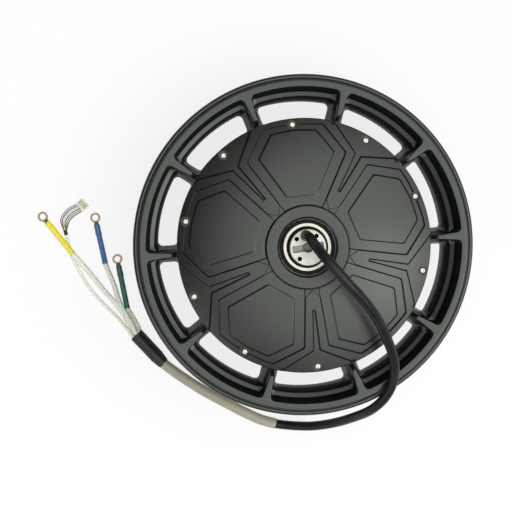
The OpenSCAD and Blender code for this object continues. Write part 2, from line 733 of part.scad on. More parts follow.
module wheel_rim() {
  color("#1c1e1e") at_mid() difference() {
    union() {
      rotate_extrude($fn = fine) rim_section();
      rotate_extrude($fn = fine) drum_section();
      around(spoke_count, spoke_start) {
        spoke_web();
        both_sides() spoke_bar();
      }
    }
    both_sides() {
      around(screw_count, panel_start) translate([screw_pcr, 0, screw_seat_h - screw_len - 1])
        cylinder(h = screw_len, r = screw_r + press_gap, $fn = 32);
      translate([0, 0, drum_h - seal_h]) rotate_extrude($fn = fine)
        translate([seal_r - seal_w / 2 - glue_gap, 0]) square([seal_w + 2 * glue_gap, seal_h + eps]);
    }
    rotate([0, 0, spoke_start + 2.5 * 360 / spoke_count]) translate([drum_r + 8, 0, 0]) rotate([0, 90, 0])
      cylinder(h = well_r - drum_r, r = valve_hole_r, $fn = 48);
  }
}

module magnet_ring() {
  color("dimgray") at_mid() translate([0, 0, -back_iron_half_h]) difference() {
    cylinder(h = 2 * back_iron_half_h, r = drum_bore_r - press_gap, $fn = fine);
    translate([0, 0, -eps])
      cylinder(h = 2 * (back_iron_half_h + eps), r = drum_bore_r - back_iron_t, $fn = fine);
  }
}

module magnets() {
  color("silver") at_mid() around(magnet_count)
    translate([magnet_back_r - magnet_t, -magnet_w / 2, -magnet_half_len])
      cube([magnet_t, magnet_w, 2 * magnet_half_len]);
}

// Lids

// A panel between two ribs, with a curved outer edge, drawn with its axis along +Y
module panel_plan() {
  past_edge = [0, 6];
  corners = both_halves([
    inside_edge(panel_top) + past_edge, inside_edge(panel_wide), outside_boss(panel_low),
    outside_boss(panel_foot)
  ]);
  intersection() {
    polygon(rounded(corners, pattern_corner_r));
    translate([0, lid_r - panel_edge - panel_arc_r]) circle(r = panel_arc_r, $fn = fine);
  }
}

// The raised hexagon plate inside a panel
module plate_plan() {
  corners = both_halves([
    inside_edge([0, plate_edge]), inside_edge(plate_top), inside_edge(plate_wide), outside_boss(plate_low)
  ]);
  polygon(rounded(corners, pattern_corner_r));
}

// The slot between two panels, widening to the field round a screw
module slot_plan() {
  polygon(both_halves([
    outside_boss(slot_tip), inside_edge(slot_neck), inside_edge(slot_mouth), [slot_mouth.x, lid_r + 4]
  ]));
}

// The low steps beside the pointed end of a rib, at the boss
module rib_foot_plan() {
  between = 180 / panel_count;
  low = outside_boss(panel_low);
  low_r = norm(low);
  low_a = between - atan2(low.x, low.y);
  polygon([
    [low_r * sin(low_a), low_r * cos(low_a)], [0, boss_r + rib_tip],
    [-low_r * sin(low_a), low_r * cos(low_a)],
    [-boss_r * sin(low_a + 1), boss_r - 3], [boss_r * sin(low_a + 1), boss_r - 3]
  ]);
}

// Plans drawn along +Y are turned to their panels
turn_from_y = panel_start - 90;
module on_panels() { around(panel_count, turn_from_y) children(); }
module between_panels() { around(panel_count, turn_from_y + 180 / panel_count) children(); }

// Everything under a dome lifted by a given height, within a plan
module under_dome(lift) {
  intersection() {
    translate([0, 0, dome_centre]) sphere(r = dome_r + lift, $fn = 360);
    translate([0, 0, drum_h]) linear_extrude(boss_h) children();
  }
}

module lid_shell() {
  difference() {
    union() {
      under_dome(0) circle(r = lid_r, $fn = fine);
      under_dome(rib_lift) difference() {
        circle(r = lid_r, $fn = fine);
        on_panels() panel_plan();
        between_panels() {
          slot_plan();
          rib_foot_plan();
        }
      }
      under_dome(plate_lift) {
        on_panels() plate_plan();
        between_panels() rib_foot_plan();
      }
    }
    intersection() {
      translate([0, 0, dome_centre]) sphere(r = dome_r - lid_t, $fn = 360);
      translate([0, 0, drum_h - eps]) cylinder(h = boss_h, r = lid_hollow_r, $fn = fine);
    }
  }
}

// The boss round the bearing, its housing inside the lid, and the spigot in the drum's bore
module lid_turned_parts() {
  housing_r = bearing_out_r + 7;
  housing_low_h = bearing_seat_h - 2;
  spigot_r = drum_bore_r - press_gap;
  rotate_extrude($fn = fine) polygon([
    [boss_lip_r, bearing_face_h], [boss_lip_r, boss_h - 1.9], [boss_lip_r + 2.3, boss_h],
    [boss_r - 1, boss_h], [boss_r, boss_h - 0.8], [boss_r, dome_boss_h - 2],
    [housing_r + 3, dome_boss_h - lid_t], [housing_r, dome_boss_h - lid_t - 3],
    [housing_r, housing_low_h], [bearing_out_r, housing_low_h], [bearing_out_r, bearing_face_h]
  ]);
  rotate_extrude($fn = fine) polygon([
    [spigot_r - 0.6, drum_h - spigot_depth], [spigot_r, drum_h - spigot_depth + 0.6],
    [spigot_r, drum_h + eps],
    [lid_hollow_r - 2, drum_h + eps], [lid_hollow_r - 2, drum_h + 0.2], [lid_hollow_r, drum_h - spigot_depth]
  ]);
}

module lid() {
  difference() {
    union() {
      difference() {
        lid_shell();
        cylinder(h = 2 * boss_h, r = boss_r - 2);
      }
      lid_turned_parts();
    }
    around(screw_count, panel_start) translate([screw_pcr, 0, drum_h - eps]) {
      cylinder(h = boss_h, r = screw_r + screw_gap, $fn = 32);
      translate([0, 0, screw_seat_h - drum_h + eps]) cylinder(h = boss_h, r = screw_cbore_r, $fn = 48);
    }
  }
}

module lid_top() { color("#232525") at_mid() lid(); }
module lid_bottom() { color("#232525") at_mid() mirror([0, 0, 1]) lid(); }

// A round seal, squashed in its groove
module seal() {
  translate([0, 0, drum_h - seal_h / 2]) rotate_extrude($fn = fine) translate([seal_r, 0]) intersection() {
    circle(r = seal_w / 2, $fn = 32);
    square([seal_w + 1, seal_h], center = true);
  }
}

module seal_top() { color("#101010") at_mid() seal(); }
module seal_bottom() { color("#101010") at_mid() mirror([0, 0, 1]) seal(); }

// A button-head screw with a round socket, its seat at z = 0
module lid_screw() {
  tip = screw_r / 5;
  edge = screw_head_h / 4;
  socket_r = socket_flats / sqrt(3);
  crown = [for (a = [0:20:60]) [screw_head_r * cos(a), edge + (screw_head_h - edge) * sin(a)]];
  rotate_extrude($fn = 48) polygon(concat(
    [[0, -screw_len], [screw_r - tip, -screw_len], [screw_r, -screw_len + tip], [screw_r, 0]],
    [[screw_head_r, 0]],
    crown,
    [[socket_r, screw_head_h], [socket_r, screw_head_h - socket_depth], [0, screw_head_h - socket_depth]]
  ));
}

module lid_screws() { around(screw_count, panel_start) translate([screw_pcr, 0, screw_seat_h]) lid_screw(); }

module lid_screws_top() { color("lightgray") at_mid() lid_screws(); }
module lid_screws_bottom() { color("lightgray") at_mid() mirror([0, 0, 1]) lid_screws(); }

// Cable, leads and what is on them

module cable_jacket() { color("#141414") swept_tube(jacket_route, jacket_d); }
module cable_sleeve() { color("#b9b5a4") swept_tube(sleeve_route, sleeve_d); }

// A shrunk tube, tapered to the sleeve, with a shallow mouth that the leads come out of
module cable_boot() {
  mouth = 1.5;
  wall = 0.9;
  color("#181818") translate(boot_back) rotate([0, 90, boot_turn]) rotate_extrude() polygon([
    [0, 0], [sleeve_d / 2 + wall, 0], [boot_r - 0.4, boot_len * 0.15], [boot_r, boot_len / 4],
    [boot_r, boot_len - 1], [boot_r - 0.4, boot_len], [boot_r - wall, boot_len],
    [boot_r - wall, boot_len - mouth], [0, boot_len - mouth]
  ]);
}

module lead_yellow() { color("#e9e6c8") swept_tube(yellow_route, lead_d, 10); }
module lead_blue() { color("#dfe3e0") swept_tube(blue_route, lead_d, 10); }
module lead_green() { color("#dde4dc") swept_tube(green_route, lead_d, 10); }
module hall_lead() { color("#dcdccb") swept_tube(hall_route, hall_d, 10); }

// Places the end of a lead: along +X from the end of its route, turned and tilted
module at_lead_end(route, pose) {
  translate(route[len(route) - 1]) rotate([0, pose[1], pose[0]]) children();
}

module marker_tube(route, pose) {
  at_lead_end(route, pose) rotate([0, 90, 0]) difference() {
    cylinder(h = pose[2], r = marker_d / 2, $fn = 48);
    translate([0, 0, marker_floor]) cylinder(h = pose[2], r = marker_bore_r, $fn = 48);
  }
}

// A crimped ring terminal: barrel, neck and ring
module ring_terminal(route, pose) {
  barrel_r = marker_bore_r - press_gap;
  barrel_start = pose[2] + barrel_out - barrel_len;
  barrel_floor = 2.5;
  ring_x = pose[2] + ring_reach;
  neck_w = barrel_r * 1.1;
  color("#8c8474") at_lead_end(route, pose) {
    translate([barrel_start, 0, 0]) rotate([0, 90, 0]) difference() {
      cylinder(h = barrel_len, r = barrel_r, $fn = 48);
      translate([0, 0, -eps])
        cylinder(h = barrel_len - barrel_floor + eps, r = barrel_r - barrel_wall, $fn = 48);
    }
    translate([0, 0, -barrel_r]) linear_extrude(ring_t) difference() {
      union() {
        translate([ring_x, 0]) circle(r = ring_r, $fn = 64);
        polygon([
          [pose[2], -neck_w / 2], [ring_x - ring_r * 0.7, -ring_r * 0.7], [ring_x, -ring_r * 0.6],
          [ring_x, ring_r * 0.6], [ring_x - ring_r * 0.7, ring_r * 0.7], [pose[2], neck_w / 2]
        ]);
      }
      translate([ring_x, 0]) circle(r = ring_hole_r, $fn = 48);
    }
  }
}

module marker_yellow() { color("#f2e21c") marker_tube(yellow_route, yellow_marker); }
module marker_blue() { color("#3a5f8f") marker_tube(blue_route, blue_marker); }
module marker_green() { color("#2f6152") marker_tube(green_route, green_marker); }
module terminal_yellow() { ring_terminal(yellow_route, yellow_marker); }
module terminal_blue() { ring_terminal(blue_route, blue_marker); }
module terminal_green() { ring_terminal(green_route, green_marker); }

module hall_end_tube() {
  color("#1a1a1a") translate(hall_route[len(hall_route) - 1]) rotate([0, 90, hall_end_turn])
    cylinder(h = hall_end_len, r = hall_d / 2 + 0.3, $fn = 32);
}

// One sensor wire, beside the middle line by its place in the plug's row
function wire_route(place) = [
  for (i = [0:len(wire_line) - 1])
    let (t = heading(wire_line, i), off = (place - 2.5) * wire_pitch * wire_spread[i])
      wire_line[i] + off * unit([t.y, -t.x, 0]) + [0, 0, i == 0 ? (place % 2 == 0 ? 0.8 : -0.8) : 0]
];

module hall_wire(place, shade) { color(shade) swept_tube(wire_route(place), wire_d, 8, [0, 0, 1]); }
module hall_wire_1() { hall_wire(0, "#8a6a7a"); }
module hall_wire_2() { hall_wire(1, "#4a5568"); }
module hall_wire_3() { hall_wire(2, "#e8e6e0"); }
module hall_wire_4() { hall_wire(3, "#3f6f4a"); }
module hall_wire_5() { hall_wire(4, "#a88a2c"); }
module hall_wire_6() { hall_wire(5, "#4a3a2a"); }

module at_plug() { translate(wire_line[len(wire_line) - 1]) rotate([0, 0, plug_turn]) children(); }

// The plug's body, with a contact hole right through it for each wire
module hall_plug() {
  color("ivory") at_plug() difference() {
    translate([0, -plug_w / 2, -plug_h / 2]) cube([plug_len, plug_w, plug_h]);
    for (i = [0:5]) translate([-eps, (i - 2.5) * wire_pitch - 0.7, -0.7])
      cube([plug_len + 2 * eps, 1.4, 1.4]);
  }
}

module hall_plug_pins() {
  color("#9a7a3a") at_plug() for (i = [0:5])
    translate([0.4, (i - 2.5) * wire_pitch - 0.6, -0.7]) cube([6, 1.2, 1.2]);
}

axle();
axle_key();
stator_carrier();
stator_core();
winding_u();
winding_v();
winding_w();
hall_board();
hall_sensors();
phase_tails();
hall_tail();
cable_inner();
cable_gland();
bearing_top_inner_ring();
bearing_top_outer_ring();
bearing_top_shields();
bearing_top_balls();
bearing_bottom_inner_ring();
bearing_bottom_outer_ring();
bearing_bottom_shields();
bearing_bottom_balls();
wheel_rim();
magnet_ring();
magnets();
lid_top();
lid_bottom();
seal_top();
seal_bottom();
lid_screws_top();
lid_screws_bottom();
cable_jacket();
cable_sleeve();
cable_boot();
lead_yellow();
lead_blue();
lead_green();
marker_yellow();
marker_blue();
marker_green();
terminal_yellow();
terminal_blue();
terminal_green();
hall_lead();
hall_end_tube();
hall_wire_1();
hall_wire_2();
hall_wire_3();
hall_wire_4();
hall_wire_5();
hall_wire_6();
hall_plug();
hall_plug_pins();
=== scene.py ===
# %% [markdown]
# # A hub motor for an electric unicycle
# The part is a wheel with its motor inside: a cast rim, a drum closed by two patterned lids, a
# fixed axle, and a cable with its leads. The solids were made first, and they are loaded here as a
# frame. A scene could hold its own copy of every place instead, but then the two models would drift
# apart. So each piece below is built where the frame has it, and rides on one of the frame's
# bodies.
# %% Load the frame
import json
import math
import bpy
import numpy as np
from mathutils import Matrix, Vector
from mathutils.geometry import delaunay_2d_cdt

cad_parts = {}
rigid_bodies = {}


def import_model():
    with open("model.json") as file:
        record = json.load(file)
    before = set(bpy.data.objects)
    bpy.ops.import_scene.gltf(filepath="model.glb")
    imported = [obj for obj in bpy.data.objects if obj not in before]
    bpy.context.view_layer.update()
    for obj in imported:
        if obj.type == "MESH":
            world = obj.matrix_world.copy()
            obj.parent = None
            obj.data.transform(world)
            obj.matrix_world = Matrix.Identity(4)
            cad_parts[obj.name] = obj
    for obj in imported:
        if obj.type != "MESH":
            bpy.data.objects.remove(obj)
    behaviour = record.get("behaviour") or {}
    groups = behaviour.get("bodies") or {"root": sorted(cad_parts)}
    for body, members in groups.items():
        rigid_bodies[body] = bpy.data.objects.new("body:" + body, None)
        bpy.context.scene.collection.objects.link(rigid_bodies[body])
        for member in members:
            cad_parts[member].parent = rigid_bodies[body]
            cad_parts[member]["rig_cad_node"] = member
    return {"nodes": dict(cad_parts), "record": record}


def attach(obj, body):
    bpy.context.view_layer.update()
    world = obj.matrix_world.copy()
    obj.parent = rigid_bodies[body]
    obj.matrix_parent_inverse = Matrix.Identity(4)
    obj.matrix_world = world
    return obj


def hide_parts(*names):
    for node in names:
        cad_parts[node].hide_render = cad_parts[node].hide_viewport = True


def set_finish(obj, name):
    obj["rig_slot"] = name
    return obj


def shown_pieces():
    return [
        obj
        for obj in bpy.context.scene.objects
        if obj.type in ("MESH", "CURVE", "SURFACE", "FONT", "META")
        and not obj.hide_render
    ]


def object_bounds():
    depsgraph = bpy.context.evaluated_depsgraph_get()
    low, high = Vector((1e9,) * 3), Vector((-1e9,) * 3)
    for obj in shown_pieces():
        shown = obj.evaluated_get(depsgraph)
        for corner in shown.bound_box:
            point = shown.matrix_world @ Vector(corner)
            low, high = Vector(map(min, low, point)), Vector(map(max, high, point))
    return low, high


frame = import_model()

MM = 0.001
cad_box = [list(corner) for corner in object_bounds()]
print(len(frame["nodes"]), "nodes in the box", cad_box)

# %% [markdown]
# The photograph looks down on the lid from more than a metre away and a little from the left, so
# that it sees the hub some 7 degrees off its axle. A camera can be moved by hand until the picture
# fits. Here two points place it, the eye and what it aims at, because each can be corrected by
# itself. The part's +X lies turned by 9 degrees in the photograph, so the camera is rolled by as
# much.
# %% Place the camera
EYE = Vector((-0.135, 0.082, 1.353))
AIM = Vector((-0.0557, -0.0023, 0.103))
PHOTO_TURN = math.radians(-9)
FOCAL_MM, SENSOR_MM = 79.0, 36.0

camera = bpy.data.objects.new("camera", bpy.data.cameras.new("camera"))
bpy.context.scene.collection.objects.link(camera)
camera.data.sensor_width, camera.data.lens = SENSOR_MM, FOCAL_MM
photo_up = Vector((-math.sin(PHOTO_TURN), math.cos(PHOTO_TURN), 0))
back = (EYE - AIM).normalized()
right = photo_up.cross(back).normalized()
facing = Matrix((right, back.cross(right), back)).transposed().to_4x4()
camera.matrix_world = Matrix.Translation(EYE) @ facing
bpy.context.scene.camera = camera
off_axle = math.degrees(back.angle(Vector((0, 0, 1))))
print("the camera looks down", round(off_axle, 1), "degrees off the axle")

# %% [markdown]
# Nearly every piece of this motor is made of rings of points joined by quads: turned parts, cords,
# spokes, even the plug. Blender's bmesh and modifiers could make them one by one. A small class
# that gathers grids, fans and plain faces says the same in less room, and each piece stays readable
# as a list of rings. It counts in millimetres, as the drawings of such a motor do.
# %% A shape that gathers rings and faces
class Shape:
    """A mesh being built, in millimetres. A face names its points by number."""

    def __init__(self):
        self.points, self.faces, self.uvs = [], [], []

    def add(self, points, faces, uvs=None):
        start = len(self.points)
        self.points.extend(np.asarray(points, float).reshape(-1, 3).tolist())
        self.faces.extend([[start + i for i in face] for face in faces])
        self.uvs.extend(uvs if uvs is not None else [[(0, 0)] * len(face) for face in faces])
        return self

    def grid(self, points, around=True, ring=False, flip=False, uv=(1, 1)):
        """Quads between rows of points. around closes each row, and ring joins the last to the first."""
        points = np.asarray(points, float)
        rows, cols = points.shape[:2]
        faces, uvs = [], []
        for i in range(rows if ring else rows - 1):
            for j in range(cols if around else cols - 1):
                here, there, after = i * cols, (i + 1) % rows * cols, (j + 1) % cols
                face = [here + j, here + after, there + after, there + j]
                spots = [(i, j), (i, j + 1), (i + 1, j + 1), (i + 1, j)]
                uvs.append([(u * uv[0], v * uv[1]) for u, v in (spots[::-1] if flip else spots)])
                faces.append(face[::-1] if flip else face)
        return self.add(points.reshape(-1, 3), faces, uvs)

    def cap(self, ring, flip=False):
        """A fan that closes a ring."""
        ring = np.asarray(ring, float)
        count = len(ring)
        fan = [[count, k, (k + 1) % count] for k in range(count)]
        return self.add(np.vstack([ring, ring.mean(0)]), [f[::-1] for f in fan] if flip else fan)

    def place(self, matrix):
        self.points = [list(matrix @ Vector(p)) for p in self.points]
        return self

    def merge(self, other, matrix=Matrix.Identity(4), flip=False):
        points = [list(matrix @ Vector(p)) for p in other.points]
        faces = [f[::-1] for f in other.faces] if flip else other.faces
        return self.add(points, faces, [u[::-1] for u in other.uvs] if flip else other.uvs)


print("a shape can", *[name for name in vars(Shape) if not name.startswith("_")])

# %% [markdown]
# A shape becomes a piece of the model when it has a mesh, a body to ride on, the slot its finish
# comes from, and the solid it stands for. Edges could be shaded smooth or sharp one by one. An
# angle does it for a whole piece: walls that meet more steeply than that stay crisp, and the rest
# is smooth, as on cast, turned and moulded parts.
# %% Turn a shape into a piece
SHARP_OVER = 40


def piece_from(shape, name, node, body, slot, sharp=SHARP_OVER):
    """A mesh object in metres that replaces a node. Edges over sharp degrees stay crisp."""
    mesh = bpy.data.meshes.new(name)
    mesh.from_pydata([[c * MM for c in p] for p in shape.points], [], shape.faces)
    layer = mesh.uv_layers.new(name="along")
    layer.data.foreach_set("uv", [c for face in shape.uvs for spot in face for c in spot])
    mesh.shade_smooth()
    mesh.set_sharp_from_angle(angle=math.radians(sharp))
    piece = bpy.data.objects.new(name, mesh)
    bpy.context.scene.collection.objects.link(piece)
    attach(piece, body)
    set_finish(piece, slot)
    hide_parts(node)
    print(name, "rides on", body, "with", len(shape.faces), "faces")
    return piece


print("edges over", SHARP_OVER, "degrees stay crisp on a piece that says nothing else")

# %% [markdown]
# A lathe turns a part from its half section, and so does this helper: each point of the section
# becomes a ring round the axle. Blender's Screw modifier or a Spin would do it too. Rings in a list
# are kept, because the drum, the screws and the lid's boss each join them in their own way.
# %% Rings round the axle
def turns_of(count):
    """Angles that share a full turn evenly."""
    return np.arange(count) * 2 * np.pi / count


def circle(radius, count, height=0.0, turn=0.0):
    angles = turn + turns_of(count)
    return np.stack([radius * np.cos(angles), radius * np.sin(angles), np.full(count, height)], axis=1)


def revolved(profile, count):
    """Rings round the Z axis from a list of (radius, height)."""
    return [circle(r, count, h) for r, h in profile]


print("a ring of 8 points starts at", circle(1.0, 8)[0].tolist())

# %% [markdown]
# The cable and its leads come before the pieces of the wheel. On the real motor the cable leaves
# the middle of the axle's upper end, bends over the lid and the rim, and lies along the floor. A
# stiff cable bends evenly, so a few points are enough and a smooth line is drawn through them. Each
# stretch is a cubic whose slope at a point follows from the two neighbours, which never overshoots
# as a high polynomial would.
# %% A smooth line through points
def catmull(points, steps):
    """A smooth line through the points, with steps pieces between each two."""
    p = np.asarray(points, float)
    p = np.vstack([2 * p[0] - p[1], p, 2 * p[-1] - p[-2]])
    line = []
    for a, b, c, d in zip(p, p[1:], p[2:], p[3:]):
        for t in np.arange(steps) / steps:
            line.append(0.5 * (2 * b + (c - a) * t + (2 * a - 5 * b + 4 * c - d) * t * t
                               + (3 * b - a - 3 * c + d) * t ** 3))
    return np.array(line + [p[-2]])


print("three points in steps of 4 give", len(catmull([(0, 0, 0), (1, 0, 0), (2, 1, 0)], 4)), "points")

# %% [markdown]
# A cord could be a Blender curve with a bevel. Rings swept along the line are used instead, because
# the shrunk tubes need a radius that changes round and along, and a tube's uv can then run in
# millimetres for the braid. Each ring's side is carried on from the one before, so that the tube
# never twists.
# %% Sweep a tube along a line
def swept(line, radius, sides, side):
    """Rings along a line. radius is a number, or a function of the share of the length and the angle."""
    line = np.asarray(line, float)
    steps = np.linalg.norm(np.diff(line, axis=0), axis=1)
    share = np.concatenate([[0], np.cumsum(steps)]) / steps.sum()
    angles = turns_of(sides)
    rings, across = [], np.asarray(side, float)
    for i, p in enumerate(line):
        along = line[min(i + 1, len(line) - 1)] - line[max(i - 1, 0)]
        along = along / np.linalg.norm(along)
        across = across - across @ along * along
        across = across / np.linalg.norm(across)
        up = np.cross(along, across)
        r = radius(share[i], angles)[:, None] if callable(radius) else radius
        rings.append(p + r * (np.cos(angles)[:, None] * across + np.sin(angles)[:, None] * up))
    return np.array(rings)


def tube(line, radius, sides, side=(1, 0, 0.2)):
    """A closed tube. Its uv runs in millimetres along the line, and from 0 to 1 round it."""
    rings = swept(line, radius, sides, side)
    step = np.linalg.norm(np.diff(np.asarray(line, float), axis=0), axis=1).mean()
    shape = Shape().grid(rings, uv=(step, 1 / sides))
    return shape.cap(rings[0], flip=True).cap(rings[-1])


print("a short tube with 8 sides has", len(tube([(0, 0, 0), (0, 0, 1)], 1.0, 8).faces), "faces")

# %% [markdown]
# The routes repeat the points of the solids. The black cable stands up from the axle, leans over
# the lid and touches down outside the rim. A pale woven sleeve covers its far part. Three pale
# motor leads and a thin sensor lead come out of the sleeve's end. Gravity could be simulated for
# them. Points read from their places in the picture, with heights set by what they rest on, give
# the same rest and can't change from run to run.
# %% The routes of the cable and its leads
JACKET = [(0, 13, 136), (0, 13, 146), (1, 11, 160), (4, 3, 174), (10, -9, 185), (20, -25, 190),
          (31, -42, 188), (43, -59, 180), (54, -77, 170), (63, -96, 158), (70, -116, 146),
          (75, -135, 135), (75, -153, 127), (70, -170, 121), (60, -185, 112), (46, -198, 96),
          (29, -208, 72), (9, -216, 48), (-14, -220, 28), (-36, -219, 14), (-58, -214, 7)]
SLEEVE = [(-58, -214, 7), (-75, -206, 6.5), (-93, -194, 6.5), (-110, -181, 6.5), (-127, -168, 6.5),
          (-144, -154, 6.5), (-160, -139, 7), (-171, -128, 8), (-180, -118, 9)]
YELLOW = [(-209, -80, 6.5), (-212, -69, 4.6), (-217, -54, 3.2), (-225, -38, 3.2), (-235, -22, 3.4),
          (-245, -4, 5), (-254, 12, 7.4), (-264, 28, 9)]
BLUE = [(-206, -78, 12.4), (-209, -67, 12), (-213, -56, 10.6), (-218, -43, 8), (-221, -30, 5),
        (-223, -16, 3.6), (-226, -3, 3.5), (-229, 11, 3.5)]
GREEN = [(-202, -75, 6.5), (-204, -67, 5), (-208, -56, 3.8), (-212, -46, 3.5)]
HALL = [(-210, -81, 11.4), (-216, -70, 9.8), (-223, -58, 5.6), (-232, -46, 2.6), (-241, -34, 2.2),
        (-250, -19, 2.2), (-257, -4, 2.2), (-262, 10, 2.2), (-266, 24, 2.2), (-268, 38, 2.2),
        (-269, 52, 2.4)]
JACKET_R, SLEEVE_R, LEAD_R, HALL_R, WIRE_R = 5.5, 6.25, 3.0, 2.0, 0.65
print("the cable's route has", len(JACKET + SLEEVE[1:]), "points")

# %% [markdown]
# Each motor lead runs on inside the coloured tube at its end, so no gap shows at the tube's mouth.
# The tube and its terminal share one small frame at the lead's end, turned and tilted as the lead
# leaves off. They could be aimed by eye one at a time. One frame for both keeps them in line.
# %% Where the motor leads end
MARKERS = {"yellow": (YELLOW, 120, 5, 50), "blue": (BLUE, 93, 0, 48), "green": (GREEN, 92, 0, 52)}
IN_MARKER = 8


def end_frame(end, turn, tilt=0.0):
    """The frame at a lead's end: +X runs on along the lead, turned and tilted in degrees."""
    return (Matrix.Translation(Vector(end)) @ Matrix.Rotation(math.radians(turn), 4, "Z")
            @ Matrix.Rotation(math.radians(tilt), 4, "Y"))


def into_marker(colour):
    """A motor lead's route, run on inside the coloured tube at its end."""
    route, turn, tilt, _ = MARKERS[colour]
    return route + [tuple(end_frame(route[-1], turn, tilt) @ Vector((IN_MARKER, 0, 0)))]


print({colour: [round(c, 1) for c in into_marker(colour)[-1]] for colour in MARKERS}, "are the ends in mm")

# %% [markdown]
# The sensor lead splits into six thin wires that fan out and enter the plug side by side. Six
# routes could be listed. They are one middle line here, moved sideways by each wire's place in the
# plug's row, because real wires of one lead stay parallel and never cross.
# %% The routes of the six sensor wires
WIRE_LINE = [(-269.5, 58, 2.4), (-268, 69, 2.2), (-260, 77, 2.2), (-248, 82, 3)]
WIRE_SPREAD = (0.35, 1, 1.1, 1)
WIRES, WIRE_PITCH, WIRE_LIFT, ROUTE_STEPS = 6, 2.0, 0.8, 8


def wire_route(place):
    """A sensor wire, beside the middle line by its place in the plug's row, from 0 to 5."""
    line, points = np.array(WIRE_LINE), []
    for i, spread in enumerate(WIRE_SPREAD):
        along = line[min(i + 1, 3)] - line[max(i - 1, 0)]
        along /= np.linalg.norm(along)
        across = np.array([along[1], -along[0], 0]) / np.hypot(along[0], along[1])
        lift = (WIRE_LIFT if place % 2 == 0 else -WIRE_LIFT) if i == 0 else 0
        aside = (place - (WIRES - 1) / 2) * WIRE_PITCH * spread
        points.append(line[i] + aside * across + np.array([0, 0, lift]))
    return catmull(points, ROUTE_STEPS)


print("a sensor wire has", len(wire_route(0)), "rings")

# %% [markdown]
# Now the cords are made. On the real motor they are one thick cable, its sleeve, three motor leads,
# a sensor lead and six thin wires. Each could have its own lines of code. One list and one loop say
# the same, and a thick cord gets more sides, so that its outline stays round in the picture. Each
# keeps its line and radius, because its length is printed further down.
# %% Make the cords
CORDS = (("cable_jacket", JACKET + SLEEVE[1:], JACKET_R, "jacket_black", 32),
         ("cable_sleeve", SLEEVE, SLEEVE_R, "sleeve_pale", 40),
         ("lead_yellow", into_marker("yellow"), LEAD_R, "lead_pale", 24),
         ("lead_blue", into_marker("blue"), LEAD_R, "lead_pale", 24),
         ("lead_green", into_marker("green"), LEAD_R, "lead_pale", 24),
         ("hall_lead", HALL, HALL_R, "lead_pale", 20))
WIRE_COLOURS = ("rose", "slate", "white", "green", "ochre", "brown")
cords = {}
for name, route, radius, slot, sides in CORDS:
    line = catmull(route, ROUTE_STEPS)
    cords[name] = (line, radius, piece_from(tube(line, radius, sides), name + "_tube", name, "stator", slot))
for place, colour in enumerate(WIRE_COLOURS):
    name, line = f"hall_wire_{place + 1}", wire_route(place)
    wire = tube(line, WIRE_R, 10, side=(0, 0, 1))
    cords[name] = (line, WIRE_R, piece_from(wire, name + "_tube", name, "stator", "wire_" + colour))


def length_of(line):
    return float(np.linalg.norm(np.diff(np.asarray(line), axis=0), axis=1).sum())


print("lengths in mm", {name: round(length_of(line)) for name, (line, radius, piece) in cords.items()})

# %% [markdown]
# The rim is one casting: an outer ring with seats for the tyre, ten spokes, and the drum that holds
# the motor. The ring and the drum are turned from half sections, mirrored at the wheel's middle. A
# casting has no knife edges, so every corner of a section is rounded. A Bevel modifier would round
# them after the fact and less evenly. Here each corner carries its own radius, and the curve that
# replaces it is drawn before the section is turned.
# %% Sections with rounded corners
def softened(corners, steps=4):
    """Replaces each corner (x, y, r) of a line by a curve cut back by r, except at the two ends."""
    line = [np.array(corners[0][:2], float)]
    for before, (x, y, r), after in zip(corners, corners[1:], corners[2:]):
        p = np.array([x, y], float)
        a, b = np.array(before[:2]) - p, np.array(after[:2]) - p
        cut = min(r, 0.48 * np.linalg.norm(a), 0.48 * np.linalg.norm(b))
        a, b = cut * a / np.linalg.norm(a), cut * b / np.linalg.norm(b)
        line += [p + a * (1 - t) ** 2 + b * t * t for t in np.linspace(0, 1, steps + 1)]
    return line + [np.array(corners[-1][:2], float)]


def arc(x, y, r, start, end, steps):
    return [(x + r * math.cos(math.radians(a)), y + r * math.sin(math.radians(a)), 0)
            for a in np.linspace(start, end, steps + 1)]


def mirrored_section(half):
    """A closed section from its upper half. Its ends lie in the wheel's middle plane."""
    return half + [(r, -h) for r, h in half[-2:0:-1]]


print("a softened corner has", len(softened([(0, 0, 0), (1, 0, 0.3), (1, 1, 0)])) - 2, "points")

# %% [markdown]
# The section of the outer ring starts in the middle of the inner wall, climbs its step to the broad
# face, goes round the lip's bead, and comes back over the flange, the bead seat with its safety
# hump and the well. It could be one long list of points. Corners with a radius each are fewer
# numbers, and each can be corrected by itself. Heights are counted from the wheel's middle, which
# is 68 mm over the floor.
# %% The rim's and the drum's sections
MID = 68.0
INNER_WALL = [(164, 0, 0), (164, 8, 4), (166.9, 22.9, 2.0), (173.6, 25.2, 1.3), (177.0, 42, 1.3)]
OUTER_WALL = [(184.6, 42, 1.5), (186.3, 37.0, 1.0)]
LIP = arc(188.3, 35, 3.2, 112, -84, 14)
TYRE_SIDE = [(186.4, 31.75, 1.2), (179.0, 31.3, 1.5), (177.2, 28.0, 1), (176.6, 18.2, 0.8),
             (177.3, 17.0, 0.6), (176.9, 15.3, 1), (169.4, 7.4, 1.6), (168.5, 5.6, 1), (168.5, 0, 0)]
DRUM_IN_R, DRUM_OUT_R, DRUM_TOP = 129, 141, 35.0
DRUM_WALL = [(DRUM_IN_R, 0, 0), (DRUM_IN_R, DRUM_TOP, 0.2), (DRUM_OUT_R, DRUM_TOP, 0.8), (DRUM_OUT_R, 0, 0)]
rim_profile = mirrored_section(softened(INNER_WALL + OUTER_WALL + LIP + TYRE_SIDE))
drum_profile = mirrored_section(softened(DRUM_WALL))
print("the rim's section has", len(rim_profile), "points and the drum's", len(drum_profile))

